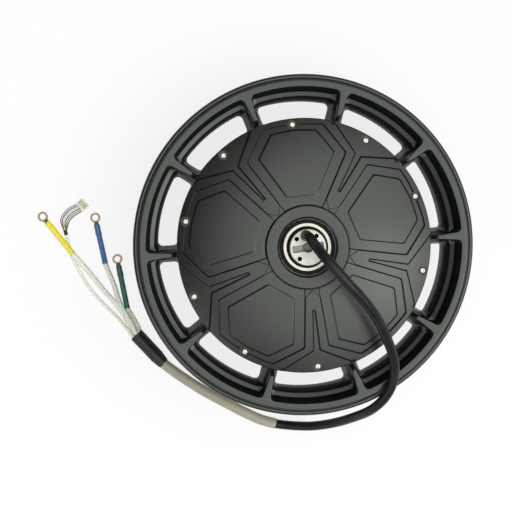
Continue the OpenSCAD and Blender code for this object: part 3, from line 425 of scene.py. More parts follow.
# %% [markdown]
# A spoke flows into the ring and the drum with fillets. A Boolean union with a bevel along the seam
# is the usual way, and it often fails where thin ledges meet a stepped wall. Instead the spoke's
# side is pushed out near a wall by as much as a fillet of that radius stands out, so the two skins
# meet almost flush and need no seam. For that, two tables say where the walls are at each height.
# %% Where the walls are, and how far a fillet stands out
WALL_HEIGHTS = [0, 8, 21.5, 23.2, 25.4, 41, 42]
WALL_RADII = [164, 164, 166.4, 168, 173.8, 176.8, 177.6]
SEAT_HEIGHTS = [0, 5.6, 7.4, 15.3, 17, 18.2, 28, 31.3, 32.5]
SEAT_RADII = [168.5, 168.5, 169.4, 176.9, 177.3, 176.6, 177.2, 179, 186.4]


def wall_radius(h):
    """Inner radius of the rim at a height, where a spoke's fillet meets it."""
    return np.interp(abs(h), WALL_HEIGHTS, WALL_RADII)


def seat_radius(h):
    """Radius of the rim's side towards the tyre at a height."""
    return np.interp(abs(h), SEAT_HEIGHTS, SEAT_RADII)


def fillet(gap, r):
    """How far a fillet of radius r stands out at a distance from the wall."""
    gap = np.clip(gap, 0, r)
    return r - np.sqrt(np.maximum(0, r * r - (r - gap) ** 2))


print("the casting is", round(float(seat_radius(0) - wall_radius(0)), 1), "mm thick in the well")

# %% [markdown]
# Across, a spoke is a thick web with a ledge on each side and a narrow bar along the top and the
# bottom. Its bars widen towards the rim and dip down to the drum. Blocks set together would leave
# hard seams between web and bars. So it is drawn as one closed ring of points for each distance
# from the axle, from the web's middle up over the bar, and mirrored twice. Where a ring would come
# out in the tyre's channel, its points stop just under the seat.
# %% A spoke's section at a distance from the axle
BAR_STATIONS, BAR_HALF_W = [138, 150, 170, 176, 184], [2.4, 2.5, 4.6, 5.1, 5.4]
BAR_TOP_STATIONS = [136, 143.6, 145.6, 147.2, 148.8, 150.4, 152, 177.6, 178.6]
BAR_TOPS = [34, 34.6, 36.4, 38.8, 40.7, 41.7, 42, 42, 41.9]
WEB_SIDE = [(9.25, 0), (9.25, 4.2), (8.9, 5.8), (7.2, 14.5), (5.5, 23), (5.1, 24.0), (4.4, 24.4)]
WEB_TOP, BAR_FOOT, SKIN = 24.2, 24.6, 0.8
WEB_FILLET, BAR_FILLET, DRUM_FILLET = 6, 5, 6


def spoke_side(x):
    """Half widths and heights of a spoke's side, from the web's middle up to the top of the bar."""
    half = np.interp(x, BAR_STATIONS, BAR_HALF_W)
    top = np.interp(x, BAR_TOP_STATIONS, BAR_TOPS)
    corner = min(1.4, half * 0.5)
    side = WEB_SIDE + [(half + 0.9, 24.5), (half + 0.25, 24.9), (half, 25.8), (half, (top + 26) / 2),
                       (half, top - corner)]
    return side + [(half - corner * (1 - math.cos(a)), top - corner * (1 - math.sin(a)))
                   for a in (0.4, 0.8, 1.2, 1.5708)], top


def spoke_ring(x):
    """The closed section of a spoke at a distance from the axle: web, ledges and the two bars."""
    side, top = spoke_side(x)
    quarter = []
    for w, h in side:
        y = w
        for _ in range(3):
            r = math.hypot(x, y)
            y = w + fillet(wall_radius(h) - r, WEB_FILLET if h < BAR_FOOT else BAR_FILLET)
            if h < WEB_TOP:
                y += fillet(r - DRUM_OUT_R, DRUM_FILLET)
        quarter.append((min(x, math.sqrt((seat_radius(h) - SKIN) ** 2 - y * y)), y, h))
    upper = quarter + [(x, 0, top)] + [(a, -y, h) for a, y, h in quarter[::-1]]
    return upper + [(a, y, -h) for a, y, h in upper[-2:0:-1]]


print("a spoke's ring has", len(spoke_ring(160)), "points")

# %% [markdown]
# The valve of the tyre comes through a hole in the rim, half-way between two spokes. A round hole
# in a curved wall is just what a Boolean is good for, so one drill is taken away from the turned
# ring before the spokes are added. The result is read back as plain points and faces.
# %% Drill the valve hole
SPOKES, SPOKE_START = 10, 66.7
SPOKE_STEP = 360 / SPOKES
VALVE_R, VALVE_FROM, VALVE_TO, VALVE_TURN = 5.65, 156, 176, 90


def valve_drill():
    rings = [[(x, VALVE_R * math.cos(a), VALVE_R * math.sin(a)) for a in turns_of(48)]
             for x in (VALVE_FROM, VALVE_TO)]
    drill = Shape().grid(rings).cap(rings[0], flip=True).cap(rings[1])
    return drill.place(Matrix.Rotation(math.radians(SPOKE_START + VALVE_TURN), 4, "Z"))


def cut_by(shape, cutter):
    """The shape with the cutter taken away by a Boolean modifier."""
    solids = []
    for part in (shape, cutter):
        mesh = bpy.data.meshes.new("cut")
        mesh.from_pydata(part.points, [], part.faces)
        solids.append(bpy.data.objects.new("cut", mesh))
        bpy.context.scene.collection.objects.link(solids[-1])
    boolean = solids[0].modifiers.new("cut", "BOOLEAN")
    boolean.operation, boolean.object = "DIFFERENCE", solids[1]
    bpy.context.view_layer.update()
    cut = solids[0].evaluated_get(bpy.context.evaluated_depsgraph_get()).to_mesh()
    result = Shape().add([tuple(v.co) for v in cut.vertices], [list(face.vertices) for face in cut.polygons])
    for solid in solids:
        bpy.data.objects.remove(solid)
    return result


RIM_FACETS, DRUM_FACETS = 288, 240
rim = cut_by(Shape().grid(revolved(rim_profile, RIM_FACETS), ring=True, flip=True), valve_drill())
print("the drilled ring has", len(rim.faces), "faces")

# %% [markdown]
# One spoke is made from its rings, close together where fillets curve and further apart between
# them, and then copied ten times round the axle. An Array modifier with an empty would do the same.
# Copies in one mesh make the rim what it is, a single casting.
# %% Cast the rim with its ten spokes
stations = sorted({round(x, 3) for x in [
    *np.linspace(137, 141.4, 3), *np.linspace(141.7, 147.5, 13), *np.linspace(148, 153, 8),
    *np.linspace(154, 160, 5), *np.linspace(160.5, 168.5, 17), *np.linspace(169, 178.6, 17)]})
spoke = Shape().grid([spoke_ring(x) for x in stations])
rim.grid(revolved(drum_profile, DRUM_FACETS), ring=True, flip=True)
for k in range(SPOKES):
    rim.merge(spoke, Matrix.Rotation(math.radians(SPOKE_START + SPOKE_STEP * k), 4, "Z"))
rim.place(Matrix.Translation((0, 0, MID)))
piece_from(rim, "rim_casting", "wheel_rim", "wheel", "rim_black", sharp=50)
print("a spoke is made of", len(stations), "rings")

# %% [markdown]
# A lid closes the drum on each side. On the real motor it is a shallow cast dome with a net of
# raised ribs round five panels, a raised plate with six corners in each panel, narrow slots with
# pointed ends between them, and a boss round the axle. It could be sculpted, or cut with Booleans.
# Instead the lid's height is a formula over its plan: the dome, lifted where a point lies inside an
# outline. That keeps every rib at one height over the dome and every wall equally soft.
# %% The dome and the outlines on it
LID_R, BOSS_R, DOME_EDGE, DOME_BOSS = 142.6, 45.5, 38.0, 61.5
dome_centre = (LID_R ** 2 - BOSS_R ** 2 + DOME_EDGE ** 2 - DOME_BOSS ** 2) / (2 * (DOME_EDGE - DOME_BOSS))
dome_r = math.hypot(LID_R, DOME_EDGE - dome_centre)
PANELS, PANEL_START = 5, 87.2
PANEL_STEP, BETWEEN = 360 / PANELS, 180 / PANELS
PANEL = [(55, 99), (26, 50), (20.5, 39.5)]
PANEL_TOP_R, PANEL_ARC_R, PANEL_ARC_HALF = 135.5, 182.0, 34.2
PLATE, PLATE_TOP_R = [(25, 127), (42, 101), (16.5, 56.5)], 129.5
SLOT = [(1.2, 70.5), (3.7, 116.5), (44, 137.5), (44, 146)]
print("the dome's radius is", round(dome_r), "mm")

# %% [markdown]
# An outline is drawn once, for the panel whose middle points along +Y, in millimetres from the
# axle. Blender curves could hold the outlines, but lists of corners are shorter, and the formula
# for the height can read them. Most outlines are the same left and right, so only the right half is
# listed. All are made to run clockwise, because then one sign tells their inside from their
# outside.
# %% Draw the outlines of panel, plate, slot and foot
def both_halves(right, middle=()):
    """A closed outline from its right half, listed from the top down, with points on the middle line."""
    return np.array([(x, y) for x, y in right] + [(-x, y) for x, y in right[::-1]] + list(middle), float)


def clockwise(outline):
    x, y = outline.T
    return outline if (x * np.roll(y, -1) - y * np.roll(x, -1)).sum() < 0 else outline[::-1]


arc_x = np.linspace(1, -1, 25) * PANEL_ARC_HALF
panel_arc = [(x, PANEL_TOP_R - PANEL_ARC_R + math.sqrt(PANEL_ARC_R ** 2 - x * x)) for x in arc_x]
panel_line = np.array(panel_arc + [(-x, y) for x, y in PANEL] + PANEL[::-1], float)[::-1]
foot_r, foot_a = math.hypot(*PANEL[1]), math.radians(BETWEEN) - math.atan2(*PANEL[1])
foot_line = both_halves([(foot_r * math.sin(foot_a), foot_r * math.cos(foot_a)),
                         (BOSS_R * math.sin(foot_a + 0.02), BOSS_R - 3)], [(0, 47)])
# Each outline, with the radius of its corners, where its middle lies, and half its wall's width.
OUTLINES = {"panel": (clockwise(panel_line), 2.5, 0, 0.8),
            "plate": (clockwise(both_halves(PLATE, [(0, PLATE_TOP_R)])), 2.5, 0, 0.8),
            "slot": (clockwise(both_halves(SLOT[::-1])), 1.2, BETWEEN, 0.8),
            "foot": (clockwise(foot_line), 0.8, BETWEEN, 0.6)}
print({name: len(outline[0]) for name, outline in OUTLINES.items()}, "are the outlines' points")

# %% [markdown]
# The mesh has to follow the outlines and both edges of their walls, or the ribs would get ragged
# edges. So an outline can be grown or shrunk by a distance, its corners rounded, and its sides cut
# into short pieces. Blender's Inset does this on a mesh. On plain points it is a few lines.
# %% Grow an outline and round its corners
def grown(outline, d):
    """The outline moved out by d, with its corners kept sharp. It runs clockwise."""
    p = np.asarray(outline)
    a, b = p - np.roll(p, 1, 0), np.roll(p, -1, 0) - p
    na, nb = (np.stack([-e[:, 1], e[:, 0]], 1) / np.linalg.norm(e, axis=1)[:, None] for e in (a, b))
    return p + d * (na + nb) / (1 + (na * nb).sum(1))[:, None]


STRAIGHT = 0.15


def curved_corners(outline, r, step=1.6):
    """The outline with its corners softened and its sides cut into short pieces."""
    p, line = np.asarray(outline), []
    for before, here, after in zip(np.roll(p, 1, 0), p, np.roll(p, -1, 0)):
        a, b = before - here, after - here
        turn = math.acos(np.clip(-(a @ b) / np.linalg.norm(a) / np.linalg.norm(b), -1, 1))
        cut = min(r * (0 if turn < STRAIGHT else 1), 0.45 * np.linalg.norm(a), 0.45 * np.linalg.norm(b))
        a, b = cut * a / np.linalg.norm(a), cut * b / np.linalg.norm(b)
        line += [here + a * (1 - t) ** 2 + b * t * t for t in (np.linspace(0, 1, 5) if cut > 0 else [0])]
    line, fine = np.array(line), []
    for here, after in zip(line, np.roll(line, -1, 0)):
        count = max(1, round(np.linalg.norm(after - here) / step))
        fine += [here + (after - here) * t for t in np.arange(count) / count]
    return np.array(fine)


print("the plate's outline becomes", len(curved_corners(OUTLINES["plate"][0], 2.5)), "points")

# %% [markdown]
# For the height, a point has to know how far it is from an outline. A texture or a mask could tell
# it roughly. The exact distance to the nearest side is short to write. A line drawn from the point
# to one side crosses the outline an odd number of times if the point lies inside, and then the
# distance is counted as negative.
# %% The distance from an outline
def distance(points, outline):
    """Signed distance of points from a closed outline, negative inside."""
    a, b = outline, np.roll(outline, -1, 0)
    best, inside = np.full(len(points), 1e9), np.zeros(len(points), bool)
    for p, q, d in zip(a, b, b - a):
        w = points - p
        t = np.clip((w @ d) / max(d @ d, 1e-12), 0, 1)
        best = np.minimum(best, np.linalg.norm(w - t[:, None] * d, axis=1))
        crosses = (p[1] > points[:, 1]) != (q[1] > points[:, 1])
        with np.errstate(divide="ignore", invalid="ignore"):
            inside ^= crosses & (points[:, 0] < p[0] + (points[:, 1] - p[1]) * d[0] / d[1])
    return np.where(inside, -best, best)


square = np.array([(-1, -1), (-1, 1), (1, 1), (1, -1)], float)
print("the middle of a square is", float(distance(np.zeros((1, 2)), square)[0]), "from its outline")

# %% [markdown]
# The five panels are alike, and so are the plates, slots and feet. Five copies of each outline
# could be measured. It is quicker to turn each point into the sector of the outline that was drawn,
# as if the lid were folded up like a fan.
# %% Fold the lid's sectors onto one
def turned(points, degrees):
    c, s = math.cos(math.radians(degrees)), math.sin(math.radians(degrees))
    return points @ np.array([[c, s], [-s, c]])


def folded(points, start):
    """Turns each point into the sector round +Y whose middle lies at start degrees from a panel's."""
    angle = np.degrees(np.arctan2(points[:, 1], points[:, 0])) - (PANEL_START + start)
    angle = (angle + BETWEEN) % PANEL_STEP - BETWEEN + 90
    r = np.linalg.norm(points, axis=1)
    return np.stack([r * np.cos(np.radians(angle)), r * np.sin(np.radians(angle))], 1)


def from_outline(points, name, coarse=6):
    """Signed distance from an outline, wherever on the lid it is repeated."""
    outline, corner, start, _ = OUTLINES[name]
    return distance(folded(points, start), curved_corners(outline, corner, coarse))


spot = turned(np.array([[0.0, 90.0]]), PANEL_START - 90)
print("the plate's middle lies", round(float(-from_outline(spot, "plate")[0]), 1), "mm inside its outline")

# %% [markdown]
# The ribs are all that lies outside panels, slots and feet. They stand 2.2 mm over the dome, and
# the plates and feet 1.2 mm. Extruded faces would give them hard, upright walls. Here a wall rises
# with a soft start and end, as paint and draft leave it on the casting. Round the boss runs a
# narrow groove.
# %% The height of the lid's top
RIB_LIFT, PLATE_LIFT, GROOVE_DEPTH, GROOVE_HALF_W = 2.2, 1.2, 0.8, 0.9
RIB_WALL, PLATE_WALL, FOOT_WALL = 0.7, 0.75, 0.6


def wall(d, half):
    """Rises smoothly from 0 to 1 across a wall that is half wide to each side."""
    t = np.clip(0.5 + d / (2 * half), 0, 1)
    return t * t * (3 - 2 * t)


def lid_height(points):
    """Height of the lid's top over the wheel's middle, at points in plan."""
    r = np.linalg.norm(points, axis=1)
    panel, plate, slot, foot = (from_outline(points, name) for name in ("panel", "plate", "slot", "foot"))
    ribs = RIB_LIFT * wall(np.minimum(np.minimum(panel, slot), foot), RIB_WALL)
    lift = np.maximum(ribs, PLATE_LIFT * np.maximum(wall(-plate, PLATE_WALL), wall(-foot, FOOT_WALL)))
    groove = GROOVE_DEPTH * np.clip(1 - abs(r - BOSS_R - 0.5) / GROOVE_HALF_W, 0, 1)
    return dome_centre + np.sqrt((dome_r + lift) ** 2 - r * r) - groove


print("the middle of a plate is", round(float(lid_height(spot)[0]), 1), "mm over the wheel's middle")

# %% [markdown]
# Now the plan of the mesh. Its lines follow every outline at the wall's two edges, at its middle
# and 0.4 mm outside it, which keeps the soft walls from rippling. Rings follow the boss, the lid's
# edge and the ten counterbores. A regular grid would need far more faces for the same crisp ribs.
# %% The lines that the lid's mesh follows
SCREWS, SCREW_R, CBORE_R = 10, 136.0, 5.2
SCREW_STEP = 360 / SCREWS
BEAD, EDGE_ROUND = 0.4, 1.2
BOSS_RINGS = (BOSS_R - 0.5, BOSS_R + 0.15, BOSS_R + 0.6, BOSS_R + 1.4)
BOSS_FACETS, EDGE_FACETS, CBORE_FACETS = 144, 288, 36


def screw_centre(k):
    angle = math.radians(PANEL_START + SCREW_STEP * k)
    return SCREW_R * np.array([math.cos(angle), math.sin(angle)])


def lid_loops():
    """Closed lines in plan. Those marked True end where they leave the dome."""
    loops = []
    for outline, corner, start, half in OUTLINES.values():
        for k in range(PANELS):
            turn = PANEL_START - 90 + start + PANEL_STEP * k
            for d in (-half - BEAD, -half, 0, half, half + BEAD):
                loops.append((turned(curved_corners(grown(outline, d), corner), turn), True))
    loops += [(circle(r, BOSS_FACETS)[:, :2], True) for r in BOSS_RINGS]
    loops.append((circle(LID_R - EDGE_ROUND, EDGE_FACETS)[:, :2], False))
    loops += [(circle(CBORE_R, CBORE_FACETS)[:, :2] + screw_centre(k), False) for k in range(SCREWS)]
    return loops


print("the lid's mesh follows", len(lid_loops()), "lines")

# %% [markdown]
# Between the lines lies an even net of points, staggered from row to row. It stays clear of the
# walls, so that their narrow faces stay regular. Without it, long thin triangles would span each
# panel, and the dome would look like a cut stone.
# %% A net of points between the lines
NET_X, NET_Y, NET_SHIFT, NET_ROWS, NET_HALF, NET_CLEAR = 3.4, 2.9, 1.7, 49, 144, 1.3


def lid_net():
    """Points between the lines, kept clear of every wall."""
    net = np.array([(x + (row % 2) * NET_SHIFT, row * NET_Y) for row in range(-NET_ROWS, NET_ROWS + 1)
                    for x in np.arange(-NET_HALF, NET_HALF, NET_X)])
    r = np.linalg.norm(net, axis=1)
    net = net[(r > BOSS_R + 2.4) & (r < LID_R - 2.6)]
    near = np.min([abs(from_outline(net, name)) - OUTLINES[name][3] for name in OUTLINES], 0)
    return net[near > NET_CLEAR]


print("the net has", len(lid_net()), "points")

# %% [markdown]
# A Delaunay triangulation joins lines and net. It is the tool for a flat area where many lines must
# become edges, and it makes the fattest triangles that they allow. It fills holes too, so triangles
# in the counterbores and in the boss are dropped afterwards.
# %% Triangulate the lid in plan
def on_lid(middle):
    """Which triangles lie on the lid's top, from their middles."""
    r = np.linalg.norm(middle, axis=1)
    keep = (r > BOSS_R - 0.6) & (r < LID_R - EDGE_ROUND)
    for k in range(SCREWS):
        x, y = screw_centre(k)
        keep &= np.hypot(middle[:, 0] - x, middle[:, 1] - y) > CBORE_R * 0.99
    return keep


def lid_plan():
    """Plan points and triangles of the lid's top."""
    points, edges = [], []
    for loop, trimmed in lid_loops():
        start, r = sum(len(p) for p in points), np.linalg.norm(loop, axis=1)
        kept = (r > BOSS_R - 0.6) & (r < LID_R - 1.6) if trimmed else np.full(len(loop), True)
        after = [(i + 1) % len(loop) for i in range(len(loop))]
        edges += [(start + i, start + n) for i, n in enumerate(after) if kept[i] and kept[n]]
        loop[~kept] = np.nan
        points.append(loop)
    flat = np.vstack(points + [lid_net()])
    used = ~np.isnan(flat[:, 0])
    number = np.cumsum(used) - 1
    edges = [(int(number[a]), int(number[b])) for a, b in edges]
    plan, _, faces, *_ = delaunay_2d_cdt([Vector(p) for p in flat[used]], edges, [], 0, 1e-5)
    plan, faces = np.array([tuple(p) for p in plan]), np.array(faces)
    return plan, faces[on_lid(plan[faces].mean(1))]


plan, triangles = lid_plan()
print("the lid's top has", len(plan), "points and", len(triangles), "triangles")

# %% [markdown]
# The flat plan is lifted to its height. The edge goes down to the drum in a small rounding. Each
# screw sits in a counterbore: a straight wall, a flat seat and the hole. Booleans could cut them,
# but the plan already has their mouths as edges, so a few rings down from each mouth are enough.
# The boss with the bearing's seat, and the hollow inner side, are turned from one section.
# %% Raise the lid and add its edge, counterbores and boss
SEAT_H, HOLE_R, LID_FACETS = 37.5, 2.25, 192
lid = Shape().add(np.column_stack([plan, lid_height(plan)]), [list(map(int, t)) for t in triangles])
edge = circle(LID_R - EDGE_ROUND, EDGE_FACETS)
edge_h = lid_height(edge[:, :2])
edge_rows = [np.column_stack([edge[:, :2] * r / (LID_R - EDGE_ROUND), edge_h - drop])
             for r, drop in ((LID_R - EDGE_ROUND, 0), (LID_R - 0.55, 0.2), (LID_R - 0.15, 0.6), (LID_R, 1.2))]
edge_rows.append(circle(LID_R, EDGE_FACETS, DRUM_TOP))
lid.grid(edge_rows[::-1])
for k in range(SCREWS):
    centre = np.array([*screw_centre(k), 0])
    mouth = circle(CBORE_R, CBORE_FACETS) + centre
    mouth[:, 2] = lid_height(mouth[:, :2])
    lid.grid([mouth] + [circle(r, CBORE_FACETS, h) + centre
                        for r, h in ((CBORE_R, SEAT_H), (HOLE_R, SEAT_H), (HOLE_R, DRUM_TOP))])
BOSS = [(43.8, 60.5, 0), (BOSS_R, 60.5, 0.1), (BOSS_R, 64.5, 1.1), (33.6, 64.5, 0.7), (31.2, 62.6, 0.5),
        (31.2, 60.4, 0.1), (34, 60.4, 0.1), (34, 46.4, 0.2), (41, 46.4, 0.5)]
INNER_SIDE = [(41, 53.5, 0.5), (44, 56.6, 0.5), (60, 55.1, 1), (90, 48.2, 1), (124, 36.2, 1),
              (124, 30, 0.4), (DRUM_IN_R, 30, 0.6), (DRUM_IN_R, DRUM_TOP, 0.2), (LID_R, DRUM_TOP, 0)]
lid.grid(revolved(softened(BOSS + INNER_SIDE), LID_FACETS))
print("the lid has", len(lid.faces), "faces")

# %% [markdown]
# The lower lid is the upper one mirrored at the wheel's middle. A Mirror modifier could be used.
# The points are mirrored here and the faces turned round, so that their normals still point
# outwards.
# %% Fit both lids
SIDES = (("top", 1), ("bottom", -1))


def at_side(side):
    """Moves a shape made over the wheel's middle to the upper side, or mirrors it to the lower."""
    return Matrix.Translation((0, 0, MID)) @ Matrix.Diagonal((1, 1, side, 1))


for name, side in SIDES:
    fitted = Shape().merge(lid, at_side(side), flip=side < 0)
    piece_from(fitted, f"lid_{name}_casting", f"lid_{name}", "wheel", "lid_black", sharp=50)

# %% [markdown]
# Ten bright screws hold each lid. Their heads are round and domed, with a hexagon socket. The head
# is turned from a section. The socket could be cut by a Boolean. It is a grid from a ring of 36
# points to a hexagon of 36 points instead, which gives clean faces at so small a size.
# %% Turn a lid screw
SHANK_R, SHANK_LEN, HEAD_R, SOCKET_R, SOCKET_DEPTH, SOCKET_CORNER = 2.0, 12, 3.8, 1.75, 1.2, 1.44
SCREW_FACETS, HEAD_H = 36, 2.2


def lid_screw():
    head = softened([(SHANK_R, -SHANK_LEN, 0), (SHANK_R, 0, 0.1), (HEAD_R, 0, 0.15), (HEAD_R, 0.6, 0.3),
                     (3.2, 1.7, 0.9), (SOCKET_R, HEAD_H, 0.25)])
    screw = Shape().grid(revolved(head, SCREW_FACETS))
    corners = circle(SOCKET_CORNER, 6, HEAD_H - 0.1, math.radians(30))
    side = SCREW_FACETS // 6
    hexagon = [corners[k // side] + (corners[(k // side + 1) % 6] - corners[k // side]) * (k % side) / side
               for k in range(SCREW_FACETS)]
    hexagon = np.roll(np.array(hexagon), side // 2, 0)
    floor = hexagon - [0, 0, SOCKET_DEPTH]
    screw.grid([circle(SOCKET_R, SCREW_FACETS, HEAD_H), hexagon, floor]).cap(floor)
    return screw.cap(circle(SHANK_R, SCREW_FACETS, -SHANK_LEN), flip=True)


one_screw = lid_screw()
print("a lid screw has", len(one_screw.faces), "faces")

# %% [markdown]
# The screws stand in the counterbores, each turned a little differently, since nobody lines up
# sockets. Random turns would need a seed. Here the turn grows by a fixed step, so it looks random
# and is the same in every run.
# %% Set the screws in the lids
SOCKET_TURN = 1.3
for name, side in SIDES:
    screws = Shape()
    for k in range(SCREWS):
        round_axle = Matrix.Rotation(math.radians(PANEL_START + SCREW_STEP * k), 4, "Z")
        on_seat = Matrix.Translation((SCREW_R, 0, SEAT_H)) @ Matrix.Rotation(k * SOCKET_TURN, 4, "Z")
        screws.merge(one_screw, at_side(side) @ round_axle @ on_seat, flip=side < 0)
    piece_from(screws, f"lid_screw_set_{name}", f"lid_screws_{name}", "wheel", "screw_zinc", sharp=35)

# %% [markdown]
# Where the leads part, a black shrunk tube grips the sleeve. It is narrow over the sleeve, wide
# over the leads, and shows them as soft ridges towards its mouth. Cloth or a shrinkwrap could press
# a tube onto the leads. Its radius is written as a formula of place and angle instead: a base that
# widens, a bump for each lead, and slight waves.
# %% How wide the shrunk tube is
BOOT_BACK, BOOT_TURN, BOOT_LEN, BOOT_RINGS, BOOT_FACETS = (-180, -118, 9), 123.7, 47, 60, 48
BOOT_SHARES, BOOT_RADII = [0, 0.03, 0.1, 0.24, 0.9, 1], [6.9, 7.15, 7.5, 8.55, 8.7, 8.6]
LOBES = [(math.radians(a), w) for a, w in ((205, 0.5), (268, 0.5), (330, 0.5), (95, 0.4))]
LOBE_SPREAD, BOOT_IN_R = 0.09, 6.3


def lobe(angles, middle):
    """A bump round the tube, 1 at its middle."""
    return np.exp(-((angles - middle + np.pi) % (2 * np.pi) - np.pi) ** 2 / LOBE_SPREAD)


def boot_radius(share, angles):
    base = np.interp(share, BOOT_SHARES, BOOT_RADII)
    ridges = sum(height * lobe(angles, middle) for middle, height in LOBES)
    waves = 0.08 * np.sin(share * 58) * np.sin(2 * angles + 5 * share)
    return base + np.clip((share - 0.12) / 0.3, 0, 1) * (ridges - 0.25) + waves


print("its mouth is", round(2 * float(boot_radius(1, turns_of(BOOT_FACETS)).max()), 1), "mm wide at most")

# %% [markdown]
# The tube is drawn ring by ring from the cable to the mouth. A Solidify modifier could give it a
# thickness all along, but only its mouth shows one. So its skin turns inwards there over a small
# edge and goes back a little, where the leads come out.
# %% Shrink the tube over the cable's end
def ring_across(x, radius, count):
    """A ring round the X axis. radius is a number, or one for each point."""
    angles = turns_of(count)
    r = np.broadcast_to(radius, angles.shape)
    return np.stack([np.full(count, x), r * np.cos(angles), r * np.sin(angles)], 1)


mouth = boot_radius(1, turns_of(BOOT_FACETS))
boot_rows = [(0, BOOT_IN_R)] + [(share * BOOT_LEN, boot_radius(share, turns_of(BOOT_FACETS)))
                                for share in np.linspace(0, 1, BOOT_RINGS)]
boot_rows += [(BOOT_LEN, mouth - 0.35), (BOOT_LEN - 0.3, mouth - 0.6), (BOOT_LEN - 1.6, mouth - 0.7)]
boot_rings = [ring_across(x, r, BOOT_FACETS) for x, r in boot_rows]
boot = Shape().grid(boot_rings, uv=(BOOT_LEN / BOOT_RINGS, 1 / BOOT_FACETS))
boot.cap(boot_rings[0], flip=True).cap(boot_rings[-1]).place(end_frame(BOOT_BACK, BOOT_TURN))
boot_piece = piece_from(boot, "cable_boot_shrunk", "cable_boot", "stator", "boot_black", sharp=60)

# %% [markdown]
# Each motor lead ends in a coloured shrunk tube. It has a small lip at the lead, a swelling over
# the crimped barrel, and a flattened end where it follows the terminal's neck. As with the black
# tube, a formula gives its radius.
# %% The coloured tube at a lead's end
MARKER_R, MARKER_FACETS, MARKER_RINGS, MARKER_END_R = 3.28, 32, 50, 3.35
FLAT_ENDS = ((0.97, 0.94), (0.985, 0.86), (1.0, 0.76))


def marker_radius(share, angles, length):
    """A lip at each end, a waist over the lead, and a swelling over the barrel."""
    along = share * length
    barrel = np.clip((along - (length - 14)) / 3, 0, 1)
    swell = 0.30 * np.exp(-((along - (length - 11)) / 2.4) ** 2)
    lip = 0.15 * np.exp(-(along / 1.2) ** 2)
    folds = 0.07 * np.sin(along * 0.9) * np.cos(2 * angles + along * 0.15)
    return MARKER_R + lip + 0.08 * barrel + swell + 0.1 * barrel * np.cos(2 * angles) + folds


def marker(length):
    angles = turns_of(MARKER_FACETS)
    rings = [ring_across(0, 2.95, MARKER_FACETS)]
    rings += [ring_across(share * length, marker_radius(share, angles, length), MARKER_FACETS)
              for share in np.linspace(0, 0.955, MARKER_RINGS)]
    for share, flat in FLAT_ENDS:
        rings.append(ring_across(share * length, MARKER_END_R, MARKER_FACETS))
        rings[-1][:, 2] = rings[-1][:, 2] * flat - (1 - flat) * 2.2
    end = rings[-1]
    rings.append(end.mean(0) + (end - end.mean(0)) * 0.82)
    shape = Shape().grid(rings, uv=(length / MARKER_RINGS, 1 / MARKER_FACETS))
    return shape.cap(rings[0], flip=True).cap(rings[-1])


print("a coloured tube has", len(marker(50).faces), "faces")

# %% [markdown]
# A ring terminal is stamped from tinned sheet: a flat ring for a screw, a neck, and a barrel that
# is crimped round the strands. A stamping's edges are slightly round. So the ring is turned from a
# rounded section rather than bored from a disc.
# %% The flat ring of a terminal
UNDER, SHEET, RING_R, SCREW_HOLE_R, RING_AHEAD, RING_FACETS = -2.89, 1.2, 6.0, 3.6, 8, 64


def terminal_ring(reach):
    middle = (RING_R + SCREW_HOLE_R) / 2
    section = softened([(middle, 0, 0), (RING_R, 0, 0.3), (RING_R, SHEET, 0.35), (SCREW_HOLE_R, SHEET, 0.3),
                        (SCREW_HOLE_R, 0, 0.25), (middle, 0, 0)])[:-1]
    return Shape().grid([[(reach + r * math.cos(a), r * math.sin(a), UNDER + h) for r, h in section]
                         for a in turns_of(RING_FACETS)], ring=True, flip=True)


print("the ring of a terminal has", len(terminal_ring(0).faces), "faces")

# %% [markdown]
# The barrel flattens into the neck. A lathe or an extrusion alone couldn't give that. A row of
# rings can: the first are round, and the later ones lower and nearly square.
# %% The crimped barrel and neck of a terminal
BARREL_FACETS = 32
# Along the barrel and neck, from the end of the coloured tube: half width, top and underside.
BARREL = ((-12, 2.7, 2.7, -2.7), (-1, 2.7, 2.7, -2.7), (0.4, 2.7, 2.3, -2.75), (1.4, 2.65, 0.6, -2.85),
          (2.2, 2.7, -0.9, UNDER), (3.2, 2.8, UNDER + SHEET, UNDER), (4.0, 3.3, UNDER + SHEET, UNDER),
          (4.6, 3.7, UNDER + SHEET, UNDER))


def squared(value, power):
    """A sine or cosine pushed towards its ends, which turns a circle into a rounded square."""
    return np.sign(value) * abs(value) ** power


def terminal(length):
    """The ring, its neck and the crimped barrel, flat on the underside of the lead."""
    shape, rows = terminal_ring(length + RING_AHEAD), []
    for x, half, top, base in BARREL:
        middle, high, power = (top + base) / 2, (top - base) / 2, 1.0 if x < 0 else 0.6
        rows.append([(length + x, half * squared(math.cos(a), power),
                      middle + high * squared(math.sin(a), power)) for a in turns_of(BARREL_FACETS)])
    return shape.grid(rows).cap(rows[0], flip=True).cap(rows[-1])


print("a whole terminal has", len(terminal(50).faces), "faces")

# %% [markdown]
# Tube and terminal could be modelled three times, each in its place. Instead both are made along
# +X, from the end of the lead, and moved into that lead's own frame. The three leads differ only in
# the length and colour of their tube and in the way they point.
# %% Fit tubes and terminals to the motor leads
ends = {}
for colour, (route, turn, tilt, length) in MARKERS.items():
    at_end = end_frame(route[-1], turn, tilt)
    ends[colour] = [
        piece_from(marker(length).place(at_end), f"marker_{colour}_shrunk", f"marker_{colour}", "stator",
                   f"marker_{colour}", sharp=60),
        piece_from(terminal(length).place(at_end), f"terminal_{colour}_ring", f"terminal_{colour}", "stator",
                   "terminal_tin", sharp=45)]

# %% [markdown]
# The thin sensor lead ends in a short black tube, from which its six wires come. A cylinder would
# look too straight for shrunk tube. The helper that swept the cords makes it, with a radius that
# waves faintly along it.
# %% The black tube at the sensor lead's end
HALL_END_LEN, HALL_END_TURN, HALL_END_R = 6, 95, 2.15
end_line = [(x, 0, 0) for x in np.linspace(0, HALL_END_LEN, 16)]


